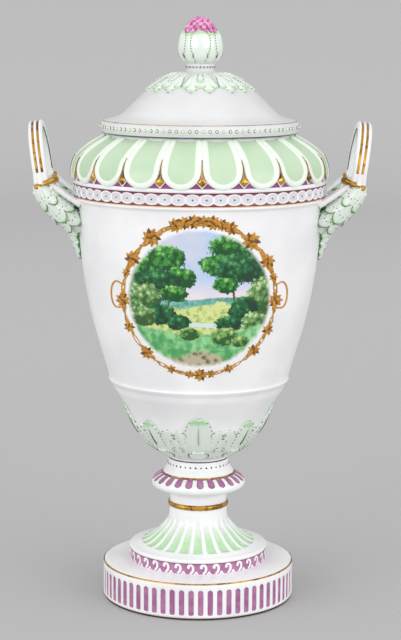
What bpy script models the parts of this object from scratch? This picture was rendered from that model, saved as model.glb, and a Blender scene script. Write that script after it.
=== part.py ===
"""Lidded porcelain urn vase: lid, body with two hoop handles, and turned foot.

The origin is the centre of the underside, +Z is up, and the painted face looks along -Y.
All lengths are in metres, all angles in degrees unless a name says otherwise.
"""

import math

import bmesh
import bpy
from mathutils import Matrix, Vector
from mathutils.kdtree import KDTree

OBJECT_NAME = "lidded_vase"

# Fits between the three pieces
JOINT_GAP = 0.0003
FRONT_ANGLE = -90.0

# Foot: round plinth, drum, flared stem, petalled flange and collar
PLINTH_RADIUS = 0.0858
PLINTH_HEIGHT = 0.0330
PLINTH_DOME = 0.0012
PLINTH_EDGE = 0.0011
PLINTH_FLUTES = 64
PLINTH_FLUTE_DEPTH = 0.0016
PLINTH_FLUTE_BOTTOM = 0.0042
PLINTH_FLUTE_TOP = 0.0268
PLINTH_FLUTE_END = 0.0020
DRUM_RADIUS = 0.0617
DRUM_HEIGHT = 0.0112
DRUM_LIP = 0.0034
DRUM_LIP_ROLL = 0.0018
DRUM_LIP_REACH = 0.0006
FLARE_STEP = 0.0062
FLARE_LIFT = 0.0008
STEM_HEIGHT = 0.0374
STEM_LINE = ((0.620, 0.144), (0.270, 0.398), (0.053, 0.631), (0.013, 0.840))
STEM_FLUTES = 24
STEM_FLUTE_DEPTH = 0.0021
STEM_FLUTE_MARGIN = 0.0085
STEM_NECK_RADIUS = 0.0254
STEM_RING_RISE = 0.0017
STEM_RING_HALF = 0.0022
NECK_HEIGHT = 0.0207
FLANGE_ROLL = 0.0045
FLANGE_FALL = 0.0062
FLANGE_SLOPE = 0.0074
FLANGE_REACH = 0.0102
FLANGE_PETALS = 24
FLANGE_PETAL_DEPTH = 0.0007
COLLAR_FLARE = 0.0056
COLLAR_LIFT = 0.0016
COLLAR_HEIGHT = 0.0159
FOOT_TOP_RADIUS = 0.0262
FOOT_WALL = 0.0065
FOOT_CEILING = 0.0050
FOOT_HOLLOW_LINE = ((0.0, 0.60), (0.20, 0.28))

# Body: bowl, ridge, guilloche band, tongued shoulder and mouth
BODY_WALL = 0.0055
BOWL_FLOOR = 0.0075
BOWL_HEIGHT = 0.0722
BOWL_LINE = ((0.702, 0.623), (0.533, 0.367), (0.311, 0.163))
RIDGE_RADIUS = 0.0808
RIDGE_DROP = 0.0060
RIDGE_STEP = 0.0040
WALL_HEIGHT = 0.1616
WALL_LINE = ((0.847, 0.797), (0.681, 0.535), (0.440, 0.312), (0.121, 0.104))
BAND_RADIUS = 0.1115
BAND_HEIGHT = 0.0124
BAND_FILLET = 0.0038
BAND_EDGE = 0.0006
BAND_SHADOW = 0.0026
SHOULDER_STEP = 0.0017
SHOULDER_HEIGHT = 0.0395
SHOULDER_LINE = ((0.54, 0.253), (0.87, 0.496), (1.0, 0.785))
MOUTH_RADIUS = 0.0740
MOUTH_DEPTH = 0.0075
SEAT_WIDTH = 0.0082
SEAT_EDGE = 0.0018
INSIDE_SHARES = ((0.696, 0.430, 0.025), (0.797, 0.302), (0.983, 0.540, 0.319))
TONGUES = 20
TONGUE_PANEL_DEPTH = 0.0021
TONGUE_GROOVE_DEPTH = 0.0028
TONGUE_BORDER_RISE = 0.0006
TONGUE_FADE_LOW = 0.0060
TONGUE_FADE_HIGH = 0.0040
TONGUE_TOP_SHARE = 0.30

# Leaf calyx under the bowl, measured up from the foot's top
BOWL_LEAVES = 8
BOWL_LEAF_START = 0.0055
BOWL_LEAF_LENGTH = 0.0340
BOWL_LEAF_HALF_WIDTH = 0.0185
BOWL_LEAF_RISE = 0.0022
SMALL_LEAF_LENGTH = 0.0190
SMALL_LEAF_HALF_WIDTH = 0.0105
SMALL_LEAF_SINK = 0.0020
SMALL_LEAF_OFFSET = 0.0013
LEAF_SINK = 0.0012
LEAF_ROOT_SHARE = 0.35
LEAF_EDGE_SHARE = 0.35
LEAF_NOTCH_SHARE = 0.80

# Handles: an upright hoop on two leaf-wrapped arms, the same on both sides,
# measured out from the band and up or down from its edges
HOOP_HALF_SPAN = 0.0350
HOOP_RISE = 0.0522
HOOP_LIFT = 0.0008
HOOP_REACH = 0.0252
HOOP_LEAN = 8.6
HOOP_BENDS = 8
STRAP_WIDTH = 0.0122
STRAP_THICKNESS = 0.0066
STRAP_GROOVE = 0.0009
TIE_INSET = 0.0014
TIE_LIFT = 0.0005
TIE_LENGTH = 0.0185
TIE_RADIUS = 0.0051
TIE_TILT = 24.0
ARM_RADIUS = 0.0078
ARM_DROP = 0.0013
ARM_BULGE = 0.0012
ARM_WALL_DROP = 0.0253
ARM_WALL_HALF_SPAN = 0.0220
ARM_BEND = (0.36, 0.30, 0.50)
STRUT_RADIUS = 0.0034
STRUT_INSET = 0.0052
STRUT_WALL_DROP = 0.0043
WALL_BITE = 0.0015
HANDLE_LEAF_DROP = 0.0068
HANDLE_LEAF_LENGTH = 0.0490
HANDLE_LEAF_HALF_WIDTH = 0.0300
HANDLE_LEAF_TIP_RISE = 0.0022
HANDLE_LEAF_RISE = 0.0125
HANDLE_LEAF_SINK = 0.0016

# Lid: beaded rim, dome, leaf calyx and bud knob
LID_OVERHANG = 0.0053
LID_RIM_HEIGHT = 0.0110
LID_RIM_ROLL = 0.0022
LID_RIM_HALF = 0.0034
LID_RIM_FOOT = 0.0042
LID_WALL = 0.0048
LID_FLANGE_DEPTH = 0.0090
LID_FLANGE_WALL = 0.0045
LID_FLANGE_CLEARANCE = 0.0012
LID_CEILING_DROP = 0.0030
LID_COVE_WIDTH = 0.0201
LID_COVE_LINE = ((0.30, 0.0030), (0.80, 0.0002))
LID_DOME_HEIGHT = 0.0420
DOME_LINE = ((0.430, 0.100), (0.611, 0.274), (0.760, 0.476), (0.890, 0.679), (1.0, 0.845))
LID_LEAVES = 8
LID_LEAF_INNER = 0.0170
LID_LEAF_LENGTH = 0.0305
LID_LEAF_HALF_WIDTHS = (0.0150, 0.0138)
LID_LEAF_RISE = 0.0018
LID_LEAF_SINKS = (0.0012, 0.0017)
KNOB_NECK_RADIUS = 0.0120
KNOB_STEM_HEIGHT = 0.0082
KNOB_FLARE = 0.0060
KNOB_BEAD = 0.0011
KNOB_SWELL = 0.0069
KNOB_BUD_HEIGHT = 0.0240
KNOB_BUD_LINE = ((0.826, 0.883), (1.0, 0.521), (0.768, 0.208))
KNOB_LEAVES = 10
KNOB_LEAF_DEPTH = 0.0011
BERRY_RADIUS = 0.0150
BERRY_HEIGHT = 0.0160
BERRY_DEPTH = 0.0011
BERRY_ROW = 0.0045

# Heights and radii that follow from the sizes above
DRUM_TOP = PLINTH_HEIGHT + DRUM_HEIGHT
LIP_TOP = DRUM_TOP + DRUM_LIP
STEM_RING_MIDDLE = LIP_TOP + STEM_HEIGHT
FLANGE_TOP = STEM_RING_MIDDLE + NECK_HEIGHT
COLLAR_BASE = FLANGE_TOP + FLANGE_SLOPE
FOOT_TOP = COLLAR_BASE + COLLAR_HEIGHT
RIDGE_TOP = FOOT_TOP + BOWL_HEIGHT
BAND_BOTTOM = RIDGE_TOP + WALL_HEIGHT
BAND_TOP = BAND_BOTTOM + BAND_HEIGHT
SHOULDER_BOTTOM = BAND_TOP + BAND_FILLET
SHOULDER_TOP = SHOULDER_BOTTOM + SHOULDER_HEIGHT
LID_SEAT = SHOULDER_TOP + JOINT_GAP
RIM_TOP = LID_SEAT + LID_RIM_HEIGHT
DOME_TOP = RIM_TOP + LID_DOME_HEIGHT
BUD_BASE = DOME_TOP + KNOB_STEM_HEIGHT
BERRY_BASE = BUD_BASE + KNOB_BUD_HEIGHT
FLARE_RADIUS = DRUM_RADIUS - FLARE_STEP
COLLAR_RADIUS = FOOT_TOP_RADIUS + COLLAR_FLARE
FLANGE_RADIUS = COLLAR_RADIUS + FLANGE_REACH
SHOULDER_RADIUS = BAND_RADIUS + SHOULDER_STEP
SEAT_RADIUS = MOUTH_RADIUS + SEAT_WIDTH
RIM_RADIUS = SEAT_RADIUS + LID_OVERHANG
DOME_RADIUS = RIM_RADIUS - LID_COVE_WIDTH
KNOB_RADIUS = KNOB_NECK_RADIUS + KNOB_SWELL

# Meridians round each piece before its plain rings are thinned out
FOOT_STEPS = PLINTH_FLUTES * 3
BODY_STEPS = TONGUES * 4
LID_STEPS = KNOB_LEAVES * 4
HOLLOW_POINTS = 8
FINE_RADIUS = 0.0450

WHITE_GLAZE = (0.86, 0.87, 0.86, 1.0)
LID_GLAZE = (0.84, 0.87, 0.84, 1.0)
FOOT_GLAZE = (0.85, 0.84, 0.86, 1.0)


def polar(radius, angle, height):
    turn = math.radians(angle)
    return Vector((radius * math.cos(turn), radius * math.sin(turn), height))


def blend(a, b, share):
    return a + (b - a) * share


def arc(centre, radii, start, end, count):
    """Points of an elliptic arc in the profile plane, from angle start to angle end."""
    points = []
    for i in range(count + 1):
        turn = math.radians(blend(start, end, i / count))
        points.append((centre[0] + radii[0] * math.cos(turn), centre[1] + radii[1] * math.sin(turn)))
    return points


def smooth_line(stations, count):
    """Even steps along a Catmull-Rom curve through the stations."""
    ends = [tuple(2 * stations[0][k] - stations[1][k] for k in (0, 1))]
    ends += list(stations)
    ends.append(tuple(2 * stations[-1][k] - stations[-2][k] for k in (0, 1)))
    spans = len(stations) - 1
    points = []
    for i in range(count + 1):
        place = min(i / count * spans, spans - 1e-9)
        span = int(place)
        t = place - span
        four = ends[span:span + 4]
        points.append(tuple(
            0.5 * (2 * four[1][k] + (four[2][k] - four[0][k]) * t
                   + (2 * four[0][k] - 5 * four[1][k] + 4 * four[2][k] - four[3][k]) * t * t
                   + (3 * four[1][k] - four[0][k] - 3 * four[2][k] + four[3][k]) * t ** 3)
            for k in (0, 1)))
    return points


def between(low, high, shares):
    """Stations between two corners of a profile, each given as shares of the way."""
    return [(blend(low[0], high[0], across), blend(low[1], high[1], up)) for across, up in shares]


def radius_at(outline, height):
    """Radius of an outer outline at a height, read between its points."""
    for (r0, z0), (r1, z1) in zip(outline, outline[1:]):
        low, high = min(z0, z1), max(z0, z1)
        if low <= height <= high and high > low:
            return blend(r0, r1, (height - z0) / (z1 - z0))
    return outline[-1][0] if height < outline[-1][1] else outline[0][0]


def link(obj, collection):
    collection.objects.link(obj)
    return obj


def mesh_from(obj, name, collection):
    """Turn an object with its modifiers, or a curve, into a plain mesh object."""
    bpy.context.view_layer.update()
    graph = bpy.context.evaluated_depsgraph_get()
    mesh = bpy.data.meshes.new_from_object(obj.evaluated_get(graph))
    bm = bmesh.new()
    bm.from_mesh(mesh)
    bmesh.ops.remove_doubles(bm, verts=bm.verts, dist=1e-6)
    bmesh.ops.recalc_face_normals(bm, faces=bm.faces)
    bm.to_mesh(mesh)
    bm.free()
    made = link(bpy.data.objects.new(name, mesh), collection)
    made.matrix_world = obj.matrix_world.copy()
    bpy.data.objects.remove(obj)
    return made


def turned(name, outline, steps, collection):
    """A turned solid: the outline runs up the inside, over the rim and down the outside."""
    mesh = bpy.data.meshes.new(name + "_outline")
    edges = [(i, i + 1) for i in range(len(outline) - 1)]
    mesh.from_pydata([(r, 0.0, z) for r, z in outline], edges, [])
    obj = link(bpy.data.objects.new(name + "_outline", mesh), collection)
    screw = obj.modifiers.new("Turn", "SCREW")
    screw.steps = steps
    screw.render_steps = steps
    screw.use_merge_vertices = True
    screw.merge_threshold = 0.0001
    return mesh_from(obj, name, collection)


def rings_of(bm, outline, steps):
    """The vertices of each turned ring, by their place in the outline and their meridian."""
    finder = KDTree(len(outline))
    for i, (radius, height) in enumerate(outline):
        finder.insert((radius, height, 0.0), i)
    finder.balance()
    rings = {}
    for vert in bm.verts:
        radius = math.hypot(vert.co.x, vert.co.y)
        if radius < 1e-5:
            continue
        place = finder.find((radius, vert.co.z, 0.0))[1]
        angle = math.degrees(math.atan2(vert.co.y, vert.co.x))
        meridian = round(angle / 360 * steps) % steps
        rings.setdefault(place, {})[meridian] = vert
    return rings


def shape_rings(obj, outline, steps, carve, spacing):
    """Carve the rings, then weld away the meridians that a plain ring doesn't need."""
    bm = bmesh.new()
    bm.from_mesh(obj.data)
    welds = {}
    for place, ring in rings_of(bm, outline, steps).items():
        every = spacing(*outline[place])
        for meridian, vert in ring.items():
            kept = int(meridian / every + 0.5) * every % steps
            if kept != meridian:
                welds[vert] = ring[kept]
            angle = 360 * meridian / steps
            radius, height, turn = carve(outline[place][0], outline[place][1], meridian)
            vert.co = polar(radius, angle + turn, height)
    bmesh.ops.weld_verts(bm, targetmap=welds)
    bmesh.ops.dissolve_degenerate(bm, dist=1e-6, edges=bm.edges)
    bmesh.ops.recalc_face_normals(bm, faces=bm.faces)
    bm.to_mesh(obj.data)
    bm.free()


def unite(obj, others):
    """Join other solids into this one, and keep the result as a plain mesh."""
    for other in others:
        cut = obj.modifiers.new("Join", "BOOLEAN")
        cut.operation = "UNION"
        cut.solver = "EXACT"
        cut.object = other
    name = obj.name
    home = obj.users_collection[0]
    obj.name = name + "_loose"
    made = mesh_from(obj, name, home)
    for other in others:
        bpy.data.objects.remove(other)
    return made


def relief_leaf(name, surface, heights, centre, half_width, rise, lobes, collection, sink=LEAF_SINK):
    """A closed leaf on a turned surface: a ribbed blade with a lobed edge and a sunk back."""
    rows = 2 * lobes + 1
    low, high = heights
    bm = bmesh.new()
    front = []
    back = []
    for i in range(rows):
        t = i / (rows - 1)
        place, out = surface(blend(low, high, t))
        envelope = math.sin(math.pi * min(0.18 + 0.74 * t, 1.0)) ** 0.6
        lobe = 1.0 if i % 2 else LEAF_NOTCH_SHARE
        spread = half_width * max(envelope * lobe, 0.12)
        lift = rise(t) if callable(rise) else rise * blend(LEAF_ROOT_SHARE, 1.0, t)
        for side, share in ((-1, LEAF_EDGE_SHARE), (0, 1.0), (1, LEAF_EDGE_SHARE)):
            turn = centre + math.degrees(side * spread / max(place[0], 0.01))
            height = lift * share
            front.append(bm.verts.new(polar(place[0] + out[0] * height, turn, place[1] + out[1] * height)))
            back.append(bm.verts.new(polar(place[0] - out[0] * sink, turn, place[1] - out[1] * sink)))
    loft_sheet(bm, front, back, rows, 3)
    mesh = bpy.data.meshes.new(name)
    bmesh.ops.recalc_face_normals(bm, faces=bm.faces)
    bm.to_mesh(mesh)
    bm.free()
    return link(bpy.data.objects.new(name, mesh), collection)


def loft_sheet(bm, front, back, rows, across):
    """Close two grids of points into one thin solid."""
    def grid(points, i, j):
        return points[i * across + j]
    for i in range(rows - 1):
        for j in range(across - 1):
            corners = ((i, j), (i, j + 1), (i + 1, j + 1), (i + 1, j))
            bm.faces.new([grid(front, *c) for c in corners])
            bm.faces.new([grid(back, *c) for c in reversed(corners)])
    rim = [(0, j) for j in range(across)]
    rim += [(i, across - 1) for i in range(1, rows)]
    rim += [(rows - 1, j) for j in range(across - 2, -1, -1)]
    rim += [(i, 0) for i in range(rows - 2, 0, -1)]
    for a, b in zip(rim, rim[1:] + rim[:1]):
        bm.faces.new((grid(front, *a), grid(back, *a), grid(back, *b), grid(front, *b)))


def outward(outline, height):
    """Point and outward direction of an outline at a height."""
    step = 0.0015
    here = radius_at(outline, height)
    slope = (radius_at(outline, height + step) - radius_at(outline, height - step)) / (2 * step)
    size = math.hypot(1.0, slope)
    return (here, height), (1.0 / size, -slope / size)


def foot_outline():
    """Foot from the top of its hollow, round the rim, up the outside and over its top."""
    inner_neck = STEM_NECK_RADIUS - FOOT_WALL
    inner_flare = FLARE_RADIUS - 2 * FOOT_WALL
    throat = STEM_RING_MIDDLE - FOOT_CEILING
    hollow = [(0.0, throat), (inner_neck * 0.8, throat - 0.05 * STEM_HEIGHT)]
    hollow += between((inner_neck, LIP_TOP), (inner_flare, STEM_RING_MIDDLE), FOOT_HOLLOW_LINE)
    ceiling = PLINTH_HEIGHT - FOOT_CEILING
    inner_plinth = PLINTH_RADIUS - FOOT_WALL - PLINTH_EDGE
    hollow += [
        (inner_flare, DRUM_TOP - DRUM_LIP_ROLL),
        (DRUM_RADIUS - FOOT_WALL, ceiling),
        (inner_plinth, ceiling),
        (inner_plinth, 0.0),
    ]
    plinth = [
        (PLINTH_RADIUS, 0.0),
        (PLINTH_RADIUS, PLINTH_FLUTE_BOTTOM),
        (PLINTH_RADIUS, PLINTH_FLUTE_BOTTOM + PLINTH_FLUTE_END / 2),
        (PLINTH_RADIUS, PLINTH_FLUTE_TOP - PLINTH_FLUTE_END),
        (PLINTH_RADIUS, PLINTH_FLUTE_TOP),
        (PLINTH_RADIUS, PLINTH_HEIGHT - PLINTH_EDGE),
        (PLINTH_RADIUS - PLINTH_EDGE, PLINTH_HEIGHT),
        (DRUM_RADIUS, PLINTH_HEIGHT + PLINTH_DOME),
    ]
    lip_centre = (DRUM_RADIUS + DRUM_LIP_REACH - DRUM_LIP_ROLL, DRUM_TOP + DRUM_LIP / 2)
    drum = [(DRUM_RADIUS, DRUM_TOP)]
    drum += arc(lip_centre, (DRUM_LIP_ROLL, DRUM_LIP / 2), -50, 90, 2)
    neck_foot = (STEM_NECK_RADIUS, LIP_TOP)
    stem = [(FLARE_RADIUS, LIP_TOP + FLARE_LIFT)]
    stem += between(neck_foot, (FLARE_RADIUS, STEM_RING_MIDDLE), STEM_LINE)
    stem = smooth_line(stem, 4)
    ring = arc((STEM_NECK_RADIUS, STEM_RING_MIDDLE), (STEM_RING_RISE, STEM_RING_HALF), -90, 90, 3)
    neck = [(STEM_NECK_RADIUS, blend(STEM_RING_MIDDLE, FLANGE_TOP, 0.48))]
    flange = [(STEM_NECK_RADIUS + FLANGE_ROLL, FLANGE_TOP - FLANGE_FALL)]
    flange += arc((FLANGE_RADIUS - FLANGE_ROLL, FLANGE_TOP - FLANGE_FALL + 1.07 * FLANGE_ROLL),
                  (FLANGE_ROLL, 0.98 * FLANGE_ROLL), -90, 60, 2)
    flange += [
        (blend(COLLAR_RADIUS, FLANGE_RADIUS, 0.50), blend(FLANGE_TOP, COLLAR_BASE, 0.70)),
        (COLLAR_RADIUS, COLLAR_BASE),
    ]
    collar = smooth_line([
        (COLLAR_RADIUS, COLLAR_BASE + COLLAR_LIFT),
        (blend(COLLAR_RADIUS, FOOT_TOP_RADIUS, 0.66), blend(COLLAR_BASE, FOOT_TOP, 0.42)),
        (FOOT_TOP_RADIUS, FOOT_TOP - COLLAR_LIFT),
    ], 2)
    top = [(FOOT_TOP_RADIUS - COLLAR_LIFT / 2, FOOT_TOP), (0.0, FOOT_TOP)]
    return hollow + plinth + drum + stem + ring + neck + flange + collar + top


def foot_piece(collection):
    outline = foot_outline()
    stem_top = STEM_RING_MIDDLE - STEM_FLUTE_MARGIN

    def carve(radius, height, meridian):
        flute = meridian % (FOOT_STEPS // PLINTH_FLUTES) == 0
        if radius == PLINTH_RADIUS and PLINTH_FLUTE_BOTTOM < height < PLINTH_FLUTE_TOP and flute:
            return radius - PLINTH_FLUTE_DEPTH, height, 0.0
        on_stem = LIP_TOP + FLARE_LIFT / 2 < height < stem_top and radius > STEM_NECK_RADIUS
        if on_stem and meridian % (FOOT_STEPS // STEM_FLUTES) == 0:
            depth = STEM_FLUTE_DEPTH * min(1.0, radius / FLARE_RADIUS + 0.12)
            return radius - depth * 0.75, height - depth * 0.65, 0.0
        on_flange = FLANGE_TOP < height < COLLAR_BASE - 1e-6 and radius > COLLAR_RADIUS + 1e-6
        if on_flange and meridian % (FOOT_STEPS // FLANGE_PETALS) == 0:
            return radius - FLANGE_PETAL_DEPTH * 0.4, height - FLANGE_PETAL_DEPTH, 0.0
        return radius, height, 0.0

    def spacing(radius, height):
        if radius == PLINTH_RADIUS and PLINTH_FLUTE_BOTTOM < height < PLINTH_FLUTE_TOP:
            return 1
        if (radius, height) in outline[:HOLLOW_POINTS]:
            return 8
        on_stem = LIP_TOP + FLARE_LIFT / 2 < height < stem_top
        on_flange = FLANGE_TOP - FLANGE_ROLL < height < COLLAR_BASE + 1e-6
        if on_stem or on_flange:
            return 4
        return 6 if radius > COLLAR_RADIUS else 8

    obj = turned("foot", outline, FOOT_STEPS, collection)
    shape_rings(obj, outline, FOOT_STEPS, carve, spacing)
    return obj


def body_outer():
    """Outer side of the body from the mouth's seat down to its underside."""
    seat = [(SEAT_RADIUS, SHOULDER_TOP)]
    shoulder = [(SEAT_RADIUS + SEAT_EDGE, SHOULDER_TOP - SEAT_EDGE * 0.67)]
    shoulder += between((SEAT_RADIUS, SHOULDER_TOP), (SHOULDER_RADIUS, SHOULDER_BOTTOM), SHOULDER_LINE)
    shoulder.append((SHOULDER_RADIUS - BAND_EDGE, SHOULDER_BOTTOM))
    band = [
        (BAND_RADIUS + BAND_EDGE, BAND_TOP + BAND_EDGE),
        (BAND_RADIUS, BAND_TOP),
        (BAND_RADIUS, BAND_BOTTOM),
        (BAND_RADIUS - BAND_SHADOW * 0.6, BAND_BOTTOM - BAND_SHADOW),
    ]
    wall_top = (BAND_RADIUS - BAND_SHADOW * 0.85, BAND_BOTTOM - BAND_SHADOW * 2.3)
    wall = [wall_top]
    wall += between((RIDGE_RADIUS, RIDGE_TOP), (BAND_RADIUS, BAND_BOTTOM), WALL_LINE)
    wall.append((RIDGE_RADIUS - RIDGE_STEP * 0.1, RIDGE_TOP + RIDGE_DROP * 0.83))
    ridge = [
        (RIDGE_RADIUS, RIDGE_TOP),
        (RIDGE_RADIUS - RIDGE_STEP, RIDGE_TOP - RIDGE_DROP),
    ]
    bowl = [(RIDGE_RADIUS - RIDGE_STEP * 1.15, RIDGE_TOP - RIDGE_DROP * 1.5)]
    bowl += between((FOOT_TOP_RADIUS, FOOT_TOP), (RIDGE_RADIUS, RIDGE_TOP), BOWL_LINE)
    bowl += [
        (FOOT_TOP_RADIUS + COLLAR_FLARE * 0.93, FOOT_TOP + BOWL_FLOOR * 0.4),
        (FOOT_TOP_RADIUS + COLLAR_FLARE * 0.07, FOOT_TOP + JOINT_GAP),
    ]
    return seat + smooth_line(shoulder, 4) + band + smooth_line(wall, 5) + ridge + smooth_line(bowl, 5)


def body_outline(outer):
    """The whole outline: up the inside from the bowl's floor, over the seat, down the outside."""
    seat_inner = [(MOUTH_RADIUS, SHOULDER_TOP - MOUTH_DEPTH), (MOUTH_RADIUS, SHOULDER_TOP)]
    spans = ((SHOULDER_BOTTOM, SHOULDER_TOP), (RIDGE_TOP, BAND_BOTTOM), (FOOT_TOP, RIDGE_TOP))
    heights = []
    for (low, high), shares in zip(spans, INSIDE_SHARES):
        heights += [blend(low, high, share) for share in shares]
    inside = []
    for height in heights:
        (radius, _), out = outward(outer, height)
        inside.append((radius - BODY_WALL * out[0], height - BODY_WALL * out[1]))
    inside[0] = (max(inside[0][0], MOUTH_RADIUS + SEAT_EDGE), inside[0][1])
    floor = FOOT_TOP + BOWL_FLOOR
    bottom = [(0.0, floor), (FOOT_TOP_RADIUS, floor + BOWL_FLOOR * 0.4)]
    return bottom + inside[::-1] + seat_inner + outer + [(0.0, FOOT_TOP + JOINT_GAP)]


def body_shell(outer, collection):
    outline = body_outline(outer)
    tongue_low = SHOULDER_BOTTOM + JOINT_GAP
    tongue_high = SHOULDER_TOP - SEAT_EDGE / 2

    def is_outer(radius, height):
        return (radius, height) in outer

    def carve(radius, height, meridian):
        if not is_outer(radius, height) or not tongue_low < height < tongue_high:
            return radius, height, 0.0
        (_, _), out = outward(outer, height)
        fade = min(1.0, (height - tongue_low) / TONGUE_FADE_LOW,
                   (tongue_high - height) / TONGUE_FADE_HIGH + TONGUE_TOP_SHARE)
        depths = {0: TONGUE_GROOVE_DEPTH, 2: TONGUE_PANEL_DEPTH}
        depth = depths.get(meridian % 4, -TONGUE_BORDER_RISE) * fade
        return radius - out[0] * depth, height - out[1] * depth, 0.0

    def spacing(radius, height):
        if is_outer(radius, height) and tongue_low < height < tongue_high:
            return 1
        return 2 if is_outer(radius, height) and radius > FINE_RADIUS else 4

    obj = turned("body", outline, BODY_STEPS, collection)
    shape_rings(obj, outline, BODY_STEPS, carve, spacing)
    return obj


def bowl_leaves(outer, collection):
    """Big leaves of the calyx, and a small one in each space between them."""
    def surface(height):
        return outward(outer, height)
    made = []
    pitch = 360 / BOWL_LEAVES
    start = FOOT_TOP + BOWL_LEAF_START
    small_start = start + SMALL_LEAF_OFFSET
    for i in range(BOWL_LEAVES):
        angle = FRONT_ANGLE + i * pitch
        made.append(relief_leaf(
            f"bowl_leaf_{i}", surface, (start, start + BOWL_LEAF_LENGTH), angle,
            BOWL_LEAF_HALF_WIDTH, BOWL_LEAF_RISE, 2, collection))
        made.append(relief_leaf(
            f"small_leaf_{i}", surface, (small_start, start + SMALL_LEAF_LENGTH), angle + pitch / 2,
            SMALL_LEAF_HALF_WIDTH, BOWL_LEAF_RISE * 0.7, 1, collection, sink=SMALL_LEAF_SINK))
    return made


def curve_solid(name, points, depth, radii, collection, section=None):
    """A tube or strap along a line of points, with closed ends."""
    curve = bpy.data.curves.new(name, "CURVE")
    curve.dimensions = "3D"
    curve.use_fill_caps = True
    curve.twist_mode = "MINIMUM"
    spline = curve.splines.new("POLY")
    spline.points.add(len(points) - 1)
    for knot, point, radius in zip(spline.points, points, radii):
        knot.co = (*point, 1.0)
        knot.radius = radius
    if section is None:
        curve.bevel_depth = depth
        curve.bevel_resolution = 1
    else:
        curve.bevel_mode = "OBJECT"
        curve.bevel_object = section
    obj = link(bpy.data.objects.new(name + "_line", curve), collection)
    return mesh_from(obj, name, collection)


def strap_section(collection):
    """Cross-section of the hoop: three ribs and two grooves outside, flat inside."""
    half = STRAP_WIDTH / 2
    deep = STRAP_THICKNESS / 2
    groove = half * 0.36
    outside = [
        (-half, deep * 0.5), (-half * 0.7, deep), (-groove, deep - STRAP_GROOVE),
        (0.0, deep), (groove, deep - STRAP_GROOVE), (half * 0.7, deep), (half, deep * 0.5),
    ]
    inside = [(half * 0.9, -deep), (-half * 0.9, -deep)]
    curve = bpy.data.curves.new("strap_section", "CURVE")
    curve.dimensions = "2D"
    spline = curve.splines.new("POLY")
    points = outside + inside
    spline.points.add(len(points) - 1)
    for knot, (across, out) in zip(spline.points, points):
        knot.co = (out, across, 0.0, 1.0)
    spline.use_cyclic_u = True
    obj = link(bpy.data.objects.new("strap_section", curve), collection)
    obj.hide_render = True
    obj.display_type = "WIRE"
    return obj


def hoop_path():
    """Middle line of the hoop in its own upright plane, measured from its feet."""
    rise = HOOP_RISE / math.cos(math.radians(HOOP_LEAN)) - STRAP_THICKNESS / 2
    leg = rise - HOOP_HALF_SPAN
    path = [Vector((0.0, -HOOP_HALF_SPAN, 0.0))]
    for i in range(HOOP_BENDS + 1):
        turn = math.radians(180 - 180 * i / HOOP_BENDS)
        path.append(Vector((0.0, HOOP_HALF_SPAN * math.cos(turn), leg + HOOP_HALF_SPAN * math.sin(turn))))
    path.append(Vector((0.0, HOOP_HALF_SPAN, 0.0)))
    return path


def handle_solids(outer, collection, guides):
    """The solids of the +X handle: hoop, ties, arms, struts and the leaf that lies on the wall."""
    lean = Matrix.Rotation(math.radians(HOOP_LEAN), 4, "Y")
    foot = Vector((BAND_RADIUS + HOOP_REACH, 0.0, BAND_TOP + HOOP_LIFT))
    arm_wall = BAND_BOTTOM - ARM_WALL_DROP
    strut_wall = BAND_BOTTOM - STRUT_WALL_DROP
    path = [foot + lean @ point for point in hoop_path()]
    hoop = curve_solid("hoop", path, 0.0, [1.0] * len(path), collection, strap_section(guides))
    joined = []
    for side in (-1, 1):
        y = side * HOOP_HALF_SPAN
        tilt = math.radians(TIE_TILT)
        reach = Vector((math.cos(tilt), 0.0, -math.sin(tilt))) * TIE_LENGTH / 2
        middle = foot + Vector((-TIE_INSET, y, TIE_LIFT))
        tie = [middle - reach, middle - reach * 0.8, middle + reach * 0.8, middle + reach]
        joined.append(curve_solid("tie", tie, TIE_RADIUS, [0.72, 1.0, 1.0, 0.72], collection))
        wall_y = side * ARM_WALL_HALF_SPAN
        wall_x = math.sqrt(radius_at(outer, arm_wall) ** 2 - wall_y ** 2)
        wall = Vector((wall_x - WALL_BITE, wall_y, arm_wall))
        start = middle - Vector((0.0, 0.0, ARM_DROP))
        bend = Vector([blend(a, b, share) for a, b, share in zip(start, wall, ARM_BEND)])
        arm = [start, blend(start, bend, 0.5) + Vector((ARM_BULGE, 0.0, 0.0)), bend, wall]
        joined.append(curve_solid("arm", arm, ARM_RADIUS, [0.86, 1.0, 1.04, 0.86], collection))
        strut_x = math.sqrt(radius_at(outer, strut_wall) ** 2 - y ** 2)
        strut_top = start + Vector((-STRUT_INSET, 0.0, STRUT_INSET * 0.19))
        strut = [strut_top, Vector((strut_x - WALL_BITE, y * 0.97, strut_wall))]
        joined.append(curve_solid("strut", strut, STRUT_RADIUS, [1.0, 1.2], collection))

    def surface(height):
        return outward(outer, height)

    def rise(t):
        return HANDLE_LEAF_TIP_RISE + HANDLE_LEAF_RISE * t ** 1.7

    leaf_top = BAND_BOTTOM - HANDLE_LEAF_DROP
    joined.append(relief_leaf(
        "handle_leaf", surface, (leaf_top - HANDLE_LEAF_LENGTH, leaf_top), 0.0,
        HANDLE_LEAF_HALF_WIDTH, rise, 3, collection, sink=HANDLE_LEAF_SINK))
    return [hoop] + joined


def body_piece(collection, guides):
    outer = body_outer()
    shell = body_shell(outer, collection)
    handles = handle_solids(outer, collection, guides)
    for solid in handles:
        mirror = solid.modifiers.new("Other side", "MIRROR")
        mirror.use_axis = (True, False, False)
        mirror.use_mirror_merge = False
        mirror.merge_threshold = 0.0001
    return unite(shell, handles + bowl_leaves(outer, collection))


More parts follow.
